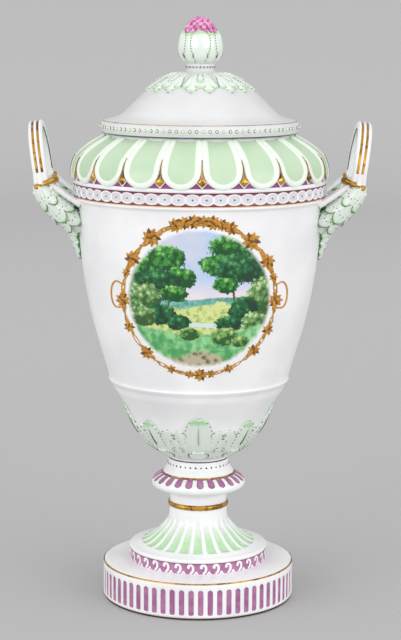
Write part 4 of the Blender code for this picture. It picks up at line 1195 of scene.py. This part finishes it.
class VASE_OT_band(bpy.types.Operator):
    """Interlaced rings on their purple ground between red-brown lines"""
    bl_idname = "vase.band"
    bl_label = "Band"

    def execute(self, context):
        sizes = context.scene.vase_sizes
        get = finishes(context)
        band = Sculpt()
        low, high = BODY.along(RINGS_LOW), BODY.along(RINGS_HIGH)
        ring_field(band, BODY, low, high, 0.00008, 1)
        ring_line(band, BODY, high + 0.0002, 0.0008, slot=2)
        ring_line(band, BODY, low + 0.0001, 0.0007, slot=2)
        ring_line(band, BODY, low - 0.0010, 0.00045, slot=3)
        middle = (low + high) / 2
        oval = [(RING_HALF * math.cos(a), middle + 0.0042 * math.sin(a))
                for a in (2 * math.pi * i / 28 for i in range(28))]
        for k, turn in all_round(sizes.band_rings, 0.5):
            place = on(BODY)(turn)
            raised = 0.0002 if k % 2 else 0.0

            def disc(u, v, lift, place=place):
                height = even_ends(v) * 2 - 1
                half = RING_HALF * math.sqrt(max(1 - height * height, 0.0))
                return place((2 * u - 1) * half, middle + height * 0.0041, 0.00016 + lift)
            band.slab(8, 4, disc, 5)
            band.ribbon(oval, place, 0.00062, 0.00045 + raised, 0, closed=True)
            band.bead(place, 0.0, middle, 0.00080, 4, 0.5, lift=0.0001)
        settle(band.finish("interlaced_band", get(
            "white_glaze", "band_ground", "red_brown_line", "orange_line", "dark_brown_line", "grey_wash")),
               "porcelain_body")
        return {"FINISHED"}


class VASE_OT_picture(bpy.types.Operator):
    """Round painted landscape on the front, framed by a gilt garland"""
    bl_idname = "vase.picture"
    bl_label = "Picture"

    def execute(self, context):
        sizes = context.scene.vase_sizes
        colours = context.scene.vase_colours
        get = finishes(context)
        half = sizes.picture_half
        patch = Sculpt()

        def disc(u, v, lift):
            height = even_ends(v) * 2 - 1
            across = (2 * u - 1) * math.sqrt(max(1 - height * height, 0.0))
            return on_front(across * half, PICTURE_HEIGHT + height * half, 0.00012 + lift)
        patch.slab(72, 60, disc)
        paint = picture_paint("landscape_painting", colours.white, half)
        settle(patch.finish("painted_landscape", [paint]), "painted_picture")

        gold = Sculpt()
        ring = sizes.garland_half
        tall = ring * 1.03

        def spot(turn, reach=1.0):
            """A place on the garland, as its distance to the side and its height."""
            a = math.radians(turn)
            return ring * reach * math.cos(a), PICTURE_HEIGHT + tall * reach * math.sin(a)

        def leaflet(start, turn, length, width, bend, lift=0.0005, slot=0):
            """A small bent leaf that grows out of a place."""
            a = math.radians(turn)
            side = (-math.sin(a), math.cos(a))
            path = []
            for i in range(6):
                t = i / 5
                sway = bend * length * math.sin(math.pi * t * 0.8)
                path.append((start[0] + math.cos(a) * length * t + side[0] * sway,
                             start[1] + math.sin(a) * length * t + side[1] * sway))

            def breadth(t):
                return width * (0.12 + math.sin(math.pi * min(t + 0.06, 1.0)) ** 0.8)
            gold.ribbon(path, on_front, breadth, lift, slot)

        def rosette(centre, size, petals, first, lift):
            """An open flower, first being the turn of its first petal; every third petal and the centre bead
            are painted shadow gold.
            """
            for k in range(petals):
                leaflet(centre, first + 360 * k / petals, size, size * 0.25, 0.12, lift, k % 3 == 2)
            gold.bead(on_front, *centre, size * 0.26, 1, 0.5, lift=lift * 0.5)

        for phase in (0.0, math.pi):
            vine = [spot(2 * i, 1.0 + 0.020 * math.sin(math.radians(2 * i) * 13 + phase)) for i in range(180)]
            gold.ribbon(vine, on_front, lambda t: blend(0.00034, 0.00075, 0.5 + 0.5 * math.sin(math.tau * t)),
                        0.0004, closed=True)
        for k in range(64):
            turn = 360 * (k + 0.5) / 64
            swag = 62 < turn < 112
            grow = 1.0 if swag else 0.62
            side = 1 if k % 2 else -1
            if not swag and k % 3:
                continue
            width = 0.0010 * grow
            # The first leaf at every fourth place round the garland is in painted shadow gold.
            leaflet(spot(turn, 1.0 + 0.014 * side), turn + 90 + side * 48, 0.0050 * grow, width, 0.3 * side,
                    slot=k % 4 == 0)
            leaflet(spot(turn, 1.0 - 0.014 * side), turn + 90 - side * 122, 0.0040 * grow, width, -0.3 * side)
        clusters = ((66, 0.0062, 8), (73, 0.0056, 9), (80, 0.0066, 9), (87, 0.0056, 8), (94, 0.0064, 9),
                    (101, 0.0058, 9), (108, 0.0066, 8), (128, 0.0082, 9), (150, 0.0070, 8), (162, 0.0038, 7),
                    (183, 0.0066, 8), (204, 0.0050, 7), (227, 0.0060, 8), (249, 0.0042, 6), (263, 0.0040, 6),
                    (271, 0.0060, 9), (279, 0.0040, 6), (293, 0.0042, 6), (316, 0.0056, 8), (334, 0.0052, 7),
                    (357, 0.0066, 8), (15, 0.0038, 7), (28, 0.0068, 8), (48, 0.0080, 9))
        for turn, size, petals in clusters:
            rosette(spot(turn), size, petals, turn * 3.0, 0.0005)
            rosette(spot(turn), size * 0.62, petals - 2, turn * 5.0, 0.0010)
            for side in (-1, 1):
                leaflet(spot(turn + side * 2), turn + side * 76, size * 1.2, size * 0.20, 0.3 * side, 0.0008)
        for side in (-1, 1):
            loop = smooth_line([(0.985, 0.15), (1.09, 0.19), (1.15, 0.10), (1.15, -0.06), (1.10, -0.16),
                                (0.99, -0.15)], 26)
            path = [(side * a * ring, PICTURE_HEIGHT + b * ring) for a, b in loop]
            gold.ribbon(path, on_front, 0.00075, 0.0005)
        settle(gold.finish("gilt_garland", get("flat_gold", "flat_gold_shadow")), "gilding")
        return {"FINISHED"}


LEAF_LOOKS = ("leaf_glaze", "dark_green_dots", "olive_dots")


def blade(sculpt, place, root, turn, length, half, rise, dots=4, tip_tint=0.5, edge_tint=0.30,
          edge_lift=0.0004, dot_size=0.00048, rows=14, columns=8, blunt=0.66):
    """One lobe of a leaf: narrow at its root, ribbed, with a raised tip and painted dots on its edge."""
    a = math.radians(turn)

    def shape(u, v, lift):
        side = 2 * u - 1
        v = min(v, 0.985)
        end = math.sqrt(1 - max((v - blunt) / (1 - blunt), 0.0) ** 2)
        breadth = half * (0.42 + 0.58 * ease(0.0, 0.58, v)) * end
        ahead, aside = v * length, side * breadth
        ribs = 0.16 * math.cos(7.0 * side) - 0.30 * math.exp(-(side / 0.14) ** 2) * (1 - 0.6 * v)
        dome = 0.80 * (1 - side * side) + ribs + 0.45 * ease(0.6, 1.0, v)
        up = edge_lift * ease(0.0, 0.3, v) + rise * dome
        return place(root[0] + ahead * math.sin(a) + aside * math.cos(a),
                     root[1] + ahead * math.cos(a) - aside * math.sin(a), up + lift)

    def tint(u, v):
        side = abs(2 * u - 1)
        return max(edge_tint * ease(0.55, 1.0, side) * ease(0.1, 0.5, v), tip_tint * ease(0.80, 0.95, v),
                   0.30 * math.exp(-(side / 0.12) ** 2) * (1 - v))
    sculpt.slab(rows, columns, shape, 0, tint, 0.0014)
    for k in range(dots):
        for u in (0.03, 0.97):
            sculpt.bead(shape, u, 0.30 + 0.66 * (k + 0.5) / dots, dot_size, 1 + (k % 3 == 1), 0.6, 6)


def fan(sculpt, place, lobes, **looks):
    """A lobed leaf from (across, along, turn, length, half breadth, rise) of its blades, outer ones first."""
    for across, along, turn, length, half, rise in lobes:
        for side in ((1, -1) if turn or across else (1,)):
            blade(sculpt, place, (across * side, along), turn * side, length, half, rise, **looks)


class VASE_OT_bowl_leaves(bpy.types.Operator):
    """Leaf calyx under the bowl"""
    bl_idname = "vase.bowl_leaves"
    bl_label = "Bowl leaves"

    def execute(self, context):
        sizes = context.scene.vase_sizes
        get = finishes(context)
        leaves = Sculpt()
        half_pitch = 180 / sizes.bowl_leaves
        start = BODY.along(BOWL_LOW + 0.0030)
        rise = sizes.bowl_leaf_rise

        def lying(turn):
            ground = on(BODY)(turn)
            return lambda across, along, lift: ground(across, start + along, lift)
        for k, turn in all_round(sizes.bowl_leaves):
            fan(leaves, lying(turn + half_pitch), (
                (0.0010, 0.0, 30, 0.0250, 0.0046, rise * 0.6), (0.0, 0.0, 0, 0.0330, 0.0058, rise * 0.7)),
                tip_tint=0.16, edge_tint=0.28, dot_size=0.00075, dots=6)
            fan(leaves, lying(turn), (
                (0.0030, 0.0, 40, 0.0270, 0.0050, rise * 0.6),
                (0.0030, 0.003, 22, 0.0420, 0.0066, rise * 0.8)),
                tip_tint=0.16, edge_tint=0.28, dot_size=0.00075, dots=7)
            long, broad = (0.0545, 0.0124) if k % 2 == 0 else (0.0475, 0.0092)
            fan(leaves, lying(turn), ((0.0, 0.002, 0, long, broad, rise),), tip_tint=0.62, edge_tint=0.25,
                dot_size=0.00070, dots=8, columns=14, edge_lift=0.0007)
            vein = [(0.0, long * (0.50 + 0.034 * i)) for i in range(12)]
            leaves.ribbon(vein, lying(turn), 0.0003, 0.0034, 1, sink=0.0)
            fan(leaves, lying(turn), ((0.0, 0.0, 0, 0.0170, 0.0092, rise),), tip_tint=0.35, dots=7,
                edge_lift=0.0012, dot_size=0.00070)
        settle(leaves.finish("bowl_leaves", get(*LEAF_LOOKS)), "porcelain_body")
        joint = Sculpt()
        ring_line(joint, STEM, STEM.length - 0.0004, 0.0007, 0.0002)
        settle(joint.finish("joint_line", get("dark_brown_line")), "porcelain_foot")
        return {"FINISHED"}


def hoop_path(steps):
    """Middle line of the right hoop, from its front foot over its top to the back foot."""
    lean = Matrix.Rotation(math.radians(HOOP_LEAN), 3, "Y")
    rise = (HOOP_TOP - HOOP_FOOT) / math.cos(math.radians(HOOP_LEAN)) - STRAP_DEEP / 2
    leg = rise - HOOP_HALF
    flat = straight((-HOOP_HALF, 0.0), (-HOOP_HALF, leg), 6)
    flat += [(HOOP_HALF * y, leg + HOOP_HALF * z) for y, z in arc((0, 0), (1, 1), 180, 0, steps)[1:-1]]
    flat += straight((HOOP_HALF, leg), (HOOP_HALF, 0.0), 6)
    return [Vector((HOOP_OUT, 0.0, HOOP_FOOT)) + lean @ Vector((0.0, y, z)) for y, z in flat], lean


class VASE_OT_handles(bpy.types.Operator):
    """Hoop handles with gilt stripes, tie bars, leafy arms, struts and wall leaves"""
    bl_idname = "vase.handles"
    bl_label = "Handles"

    def execute(self, context):
        get = finishes(context)
        self.hoops(get)
        self.ties(get)
        self.arms(get)
        self.wall_leaves(get)
        return {"FINISHED"}

    def hoops(self, get):
        path, lean = hoop_path(34)
        half, deep = STRAP_WIDTH / 2, STRAP_DEEP / 2
        right = [0.12, 0.18, 0.36, 0.54, 0.60, 0.78, 0.94, 1.0]
        outside = []
        for share in [-part for part in reversed(right)] + [0.0] + right:
            away = abs(abs(share) - 0.36)
            groove = 0.0011 * math.sqrt(max(1 - (away / 0.20) ** 2, 0.0))
            edge = 0.0016 * ease(0.72, 1.0, abs(share)) ** 2
            outside.append((share * half, deep - groove - edge))
        section = outside + [(half * 0.98, -deep * 0.7), (half * 0.86, -deep), (0.0, -deep * 0.92),
                             (-half * 0.86, -deep), (-half * 0.98, -deep * 0.7)]
        side = lean @ Vector((1.0, 0.0, 0.0))
        hoop = Sculpt()
        rows = []
        for i, point in enumerate(path):
            out = side.cross(heading(path, i)).normalized()
            swell = 1.0 + 0.10 * (1 - ease(0.0, 0.010, min(i, len(path) - 1 - i) * 0.0024))
            rows.append([hoop.vert(point + side * a * swell + out * b) for a, b in section])

        def slot(i, j):
            inside_stripe = 3 < i < len(path) - 5
            return 1 if inside_stripe and j in (4, 5, 10, 11) else 0
        hoop.skin(rows, slot, wrap=True)
        hoop.face(rows[0][::-1])
        hoop.face(rows[-1])
        for share in (-1, 1):
            line = []
            for i, point in enumerate(path):
                out = side.cross(heading(path, i)).normalized()
                line.append(point + side * share * half * 0.84 - out * deep * 0.97)
            hoop.tube(line[3:-3], [0.0005] * (len(line) - 6), 5, 2)
        looks = get("white_glaze", "gilding", "dark_green_dots")
        settle(hoop.finish("hoops", looks, mirror=True), "porcelain_body")

    def ties(self, get):
        ties = Sculpt()
        tilt = math.radians(TIE_TILT)
        reach = Vector((math.cos(tilt), 0.0, -math.sin(tilt)))
        for side in (-1, 1):
            middle = Vector((HOOP_OUT - 0.0040, side * (HOOP_HALF + 0.0014), HOOP_FOOT + 0.0010))
            line, radii = [], []
            for i in range(33):
                t = i / 16 - 1
                line.append(middle + reach * (t if side < 0 else t * 0.70 + 0.30) * TIE_HALF)
                end = math.sqrt(max(1 - (max(abs(t) - 0.78, 0.0) / 0.22) ** 2, 0.0))
                thick = 0.0056 + 0.0008 * ease(0.50, 0.78, abs(t)) + 0.0003 * math.cos(t * 9)
                radii.append(thick * max(end, 0.05))
            ties.tube(line, radii, 16, flat=0.48)
        settle(ties.finish("gilt_ties", get("gilding"), mirror=True), "gilding")

    @staticmethod
    def on_wall(aside, height):
        """A place 1 mm inside the wall's face, by its distance to the front or back and its height."""
        return Vector((math.sqrt(BODY.radius(height) ** 2 - aside ** 2) - 0.001, aside, height))

    def arms(self, get):
        arms = Sculpt()
        for side in (-1, 1):
            top = Vector((HOOP_OUT - 0.0014, side * HOOP_HALF, HOOP_FOOT))
            wall = self.on_wall(side * ARM_SPREAD, ARM_FOOT)
            stations = [top + Vector((0.0006, 0, 0.002)), top + Vector((0.0004, 0, -0.0060))]
            for shares in ((0.30, 0.22, 0.48), (0.66, 0.60, 0.76)):
                stations.append(Vector([blend(a, b, share) for a, b, share in zip(top, wall, shares)]))
            stations.append(wall)
            line = [Vector(p) for p in smooth_line([tuple(p) for p in stations], 30)]
            radii = [blend(0.0062, 0.0080, ease(0.0, 0.6, i / 30)) for i in range(31)]
            arms.tube(line, radii, 18, 0, 0.9, tint=0.10)
            for bead in range(12):
                a = 2 * math.pi * bead / 12
                out, aside = math.cos(a), math.sin(a)
                spot = top + Vector((out * 0.0074, aside * 0.0056, -0.0056 - 0.0024 * out))
                arms.ball(spot, Vector((out, aside, 0.0)), 0.0023, 3, 0.9)

            for first, last, wide, shift in ((0.56, 0.79, 0.0084, 0.0), (0.36, 0.60, 0.0088, 0.5),
                                             (0.14, 0.36, 0.0074, 0.0)):
                def cup(u, v, lift, line=line, first=first, last=last, wide=wide, shift=shift):
                    lobes = abs(math.sin(math.pi * (5 * u + shift)))
                    reach = 30 * blend(first, last + 0.12 * lobes ** 0.6, v)
                    i = min(int(reach), 29)
                    point = line[i].lerp(line[i + 1], reach - i)
                    ahead = (line[i + 1] - line[i]).normalized()
                    a = 2 * math.pi * u
                    lateral = ahead.cross(Vector((0, 1, 0))).normalized()
                    front = lateral.cross(ahead)
                    ribs = 0.0003 * math.cos(30 * math.pi * u)
                    swell = wide + 0.0020 * ease(0.2, 1.0, v) + 0.0008 * lobes + ribs
                    return point + (lateral * math.cos(a) + front * math.sin(a)) * (swell + lift)
                arms.slab(16, 60, cup, 0, lambda u, v: 0.08 + 0.95 * ease(0.87, 0.97, v), sink=0.0016)
                for k in range(20):
                    for v in (0.62, 0.97):
                        arms.bead(cup, (k + 0.5) / 20, v, 0.0006, 1 + k % 2, 0.6, 6)

            foot = self.on_wall(side * HOOP_HALF * 0.97, STRUT_FOOT)
            head = top + Vector((-0.0052, 0.0, 0.0010))
            shares = [i / 12 for i in range(13)]
            line = [head.lerp(foot, t) + Vector((0, 0, -0.0012 * math.sin(math.pi * t))) for t in shares]
            arms.tube(line, [0.0038 + 0.0010 * ease(0.7, 1.0, t) for t in shares], 12, 3, 0.7)
        settle(arms.finish("leafy_arms", get(*LEAF_LOOKS, "white_glaze"), mirror=True), "porcelain_body")

    def wall_leaves(self, get):
        leaves = Sculpt()
        start = BODY.along(WALL_LEAF_TOP)
        length = start - BODY.along(WALL_LEAF_TIP)
        ground = on(BODY)(0.0)

        def slant(side, v):
            """Phase of the ribs, which run up from the middle of the leaf to its edges."""
            return math.pi * (14 * v ** 0.9 - 3.2 * abs(side))

        def flank(u, v, lift):
            side = 2 * u - 1
            notch = abs(math.sin(math.pi * 7 * v ** 0.9)) ** 0.5
            breadth = 0.0034 + 0.0320 * (1 - v) ** 0.9
            breadth *= (0.86 + 0.14 * notch) * math.sqrt(1 - 0.98 * v ** 8)
            ridge = (0.0022 + 0.0180 * (1 - v) ** 1.2) * (1 - abs(side) ** 2.6)
            ribs = 0.0007 * math.cos(slant(side, v)) * min(abs(side) * 3, 1.0)
            return ground(side * breadth, start - v * length, ridge + ribs + 0.0006 + lift)

        def washed(u, v):
            side = abs(2 * u - 1)
            patches = 0.42 * max(math.cos(slant(side, v)), 0.0) ** 3 * ease(0.3, 0.8, side)
            return max(0.08, patches, 1.10 * ease(0.84, 0.96, side), 0.9 * ease(0.93, 1.0, v))
        leaves.slab(80, 36, flank, 0, washed, sink=0.0030)
        for k in range(9):
            for u in (0.5, 0.5 - 0.27 + 0.05 * (k % 2), 0.5 + 0.27 - 0.05 * (k % 2)):
                leaves.bead(flank, u, (k + 0.7) / 9.6, 0.0008, 1 + k % 2, 0.6)
        settle(leaves.finish("wall_leaves", get(*LEAF_LOOKS), mirror=True), "porcelain_body")


class VASE_OT_lid(bpy.types.Operator):
    """Lid with its beaded rim and leaf calyx"""
    bl_idname = "vase.lid"
    bl_label = "Lid"

    def execute(self, context):
        sizes = context.scene.vase_sizes
        get = finishes(context)
        under = [(0.0, 0.4640), (0.0263, 0.4635), (0.0385, 0.4562), (0.0486, 0.4477), (0.0573, 0.4392),
                 (0.0640, 0.4310), (0.0683, 0.4243), (0.0683, FLANGE_LOW), (0.0728, FLANGE_LOW),
                 (0.0728, RIM_LOW)]
        base = Sculpt()
        base.turn([*under, *LID.points, (0.0110, BUD_LOW + 0.0010), (0.0, BUD_LOW + 0.0010)], 240)
        # The lid's glaze carries painted shade: it is darker than the body's white.
        settle(base.finish("lid_dome", get("lid_glaze")), "porcelain_lid", "lid")

        beads = Sculpt()
        along = LID.along(RIM_BEADS)
        for k, turn in all_round(sizes.rim_beads, 0.5):
            beads.bead(on(LID)(turn), 0.0, along, 0.00168, 4 if k % 3 else 0, 0.42, lift=-0.0002)
            beads.bead(on(LID)(turn), 0.0, along, 0.00090, 1, 0.6, lift=0.0005)
        ring_line(beads, LID, LID.along(RIM_TOP - 0.0002), 0.0004, slot=2)
        ring_line(beads, LID, LID.along(RIM_LOW + 0.0006), 0.00055, slot=3)
        for k, turn in all_round(sizes.knob_beads):
            beads.bead(on(LID)(turn), 0.0, LID.along(KNOB_BEADS), 0.00085, 4 if k % 3 else 3, 0.8)
        settle(beads.finish("lid_beads", get(
            "flute_green", "white_glaze", "gilding", "dark_green_dots", "olive_dots")), "porcelain_lid")

        leaves = Sculpt()
        pitch = 360 / sizes.lid_leaves
        start = LID.along(LEAVES_TOP)
        rise = sizes.lid_leaf_rise

        def lying(turn):
            ground = on(LID)(turn)

            def place(across, along, lift):
                mark = start - along
                return ground(across * LID.at(mark)[0] / 0.040, mark, lift)
            return place
        for _, turn in all_round(sizes.lid_leaves):
            for side in (-1, 1):
                fan(leaves, lying(turn + side * pitch * 0.215), (
                    (0.0016, 0.0030, 11, 0.0235, 0.0034, rise * 0.8), (0.0, 0.0, 0, 0.0318, 0.0040, rise)),
                    tip_tint=0.42, edge_tint=0.26, dot_size=0.00062, edge_lift=0.0003, dots=6, blunt=0.82,
                    rows=22)
            fan(leaves, lying(turn), ((0.0, 0.0, 0, 0.0190, 0.0034, rise * 0.9),),
                tip_tint=0.45, edge_tint=0.45, dot_size=0.00055, edge_lift=0.0008, dots=5)
        settle(leaves.finish("lid_leaves", get(*LEAF_LOOKS)), "porcelain_lid")
        return {"FINISHED"}


class VASE_OT_knob(bpy.types.Operator):
    """Bud knob with its leaves and a heap of berries"""
    bl_idname = "vase.knob"
    bl_label = "Knob"

    def execute(self, context):
        sizes = context.scene.vase_sizes
        get = finishes(context)
        bud = Sculpt()
        outline = [(0.0, BUD_LOW - 0.0006)] + [(r - 0.0008, z) for r, z in BUD.points]
        outline += [(0.0100, 0.5090), (0.0, 0.5095)]
        bud.turn(outline, 96)

        def slit_half(t):
            return 0.0011 * math.sin(math.pi * min(t + 0.1, 0.95))
        slits = [[(side * (0.0062 - 0.0002 * i), 0.0066 + 0.0008 * i) for i in range(7)] for side in (-1, 1)]
        for layer, (length, half, lift) in enumerate(((0.0275, 0.0090, 0.0002), (0.0290, 0.0088, 0.0010))):
            for _, turn in all_round(sizes.bud_leaves, 0.5 * layer + 0.5):
                ground = on(BUD)(turn)
                blade(bud, ground, (0.0, 0.0004), 0, length, half, 0.0015, dots=9, tip_tint=0.55,
                      edge_tint=0.28, edge_lift=lift, dot_size=0.0006, rows=24, columns=16)
                for slit in slits if layer else ():
                    bud.ribbon(slit, ground, slit_half, 0.0019, 1)
        settle(bud.finish("bud_leaves", get(*LEAF_LOOKS)), "porcelain_lid")

        heap = Sculpt()
        core = [(0.0, BERRY_LOW), (0.0122, BERRY_LOW), (0.0120, 0.5070), (0.0102, 0.5110), (0.0070, 0.5150),
                (0.0034, 0.5174), (0.0, 0.5178)]
        heap.turn(core, 48)
        shell = Profile([(0.0138, BERRY_LOW), (0.0130, 0.5074), (0.0110, 0.5114), (0.0076, 0.5152),
                         (0.0036, 0.5176), (0.0004, 0.5182)])
        levels = ((0.0004, 16), (0.0036, 15), (0.0067, 13), (0.0098, 10), (0.0128, 8), (0.0157, 5),
                  (0.0182, 3))
        for n, (along, count) in enumerate(levels):
            for k, turn in all_round(count, 0.5 * (n % 2)):
                heap.bead(on(shell)(turn + 7 * n), 0.0, along, 0.0022 if (k + n) % 3 else 0.0025, 0, 0.95, 9)
        top_berry = 0.0026
        heap.ball(Vector((0.0, 0.0, TIP - top_berry)), Vector((0, 0, 1)), top_berry, 0, 0.95, 10)
        settle(heap.finish("berries", get("berry_pink")), "porcelain_lid")
        return {"FINISHED"}


class VASE_PT_panel(bpy.types.Panel):
    """Sizes, colours and one button for each group of pieces"""
    bl_label = "Urn vase"
    bl_idname = "VASE_PT_panel"
    bl_space_type = "VIEW_3D"
    bl_region_type = "UI"
    bl_category = "Vase"

    def draw(self, context):
        layout = self.layout
        for group in (context.scene.vase_sizes, context.scene.vase_colours):
            box = layout.box()
            for name in group.bl_rna.properties.keys():
                if name not in ("rna_type", "name"):
                    box.prop(group, name)
        for operator in OPERATORS:
            layout.operator(operator.bl_idname)


OPERATORS = (VASE_OT_stage, VASE_OT_plinth, VASE_OT_stem, VASE_OT_body, VASE_OT_shoulder, VASE_OT_band,
             VASE_OT_picture, VASE_OT_bowl_leaves, VASE_OT_handles, VASE_OT_lid, VASE_OT_knob)


def register():
    for cls in (VaseSizes, VaseColours, *OPERATORS, VASE_PT_panel):
        bpy.utils.register_class(cls)
    bpy.types.Scene.vase_sizes = PointerProperty(type=VaseSizes)
    bpy.types.Scene.vase_colours = PointerProperty(type=VaseColours)


def unregister():
    del bpy.types.Scene.vase_sizes
    del bpy.types.Scene.vase_colours
    for cls in (VASE_PT_panel, *reversed(OPERATORS), VaseColours, VaseSizes):
        bpy.utils.unregister_class(cls)


def main():
    register()
    for operator in OPERATORS:
        getattr(bpy.ops.vase, operator.bl_idname.split(".")[1])()


if __name__ == "__main__":
    main()
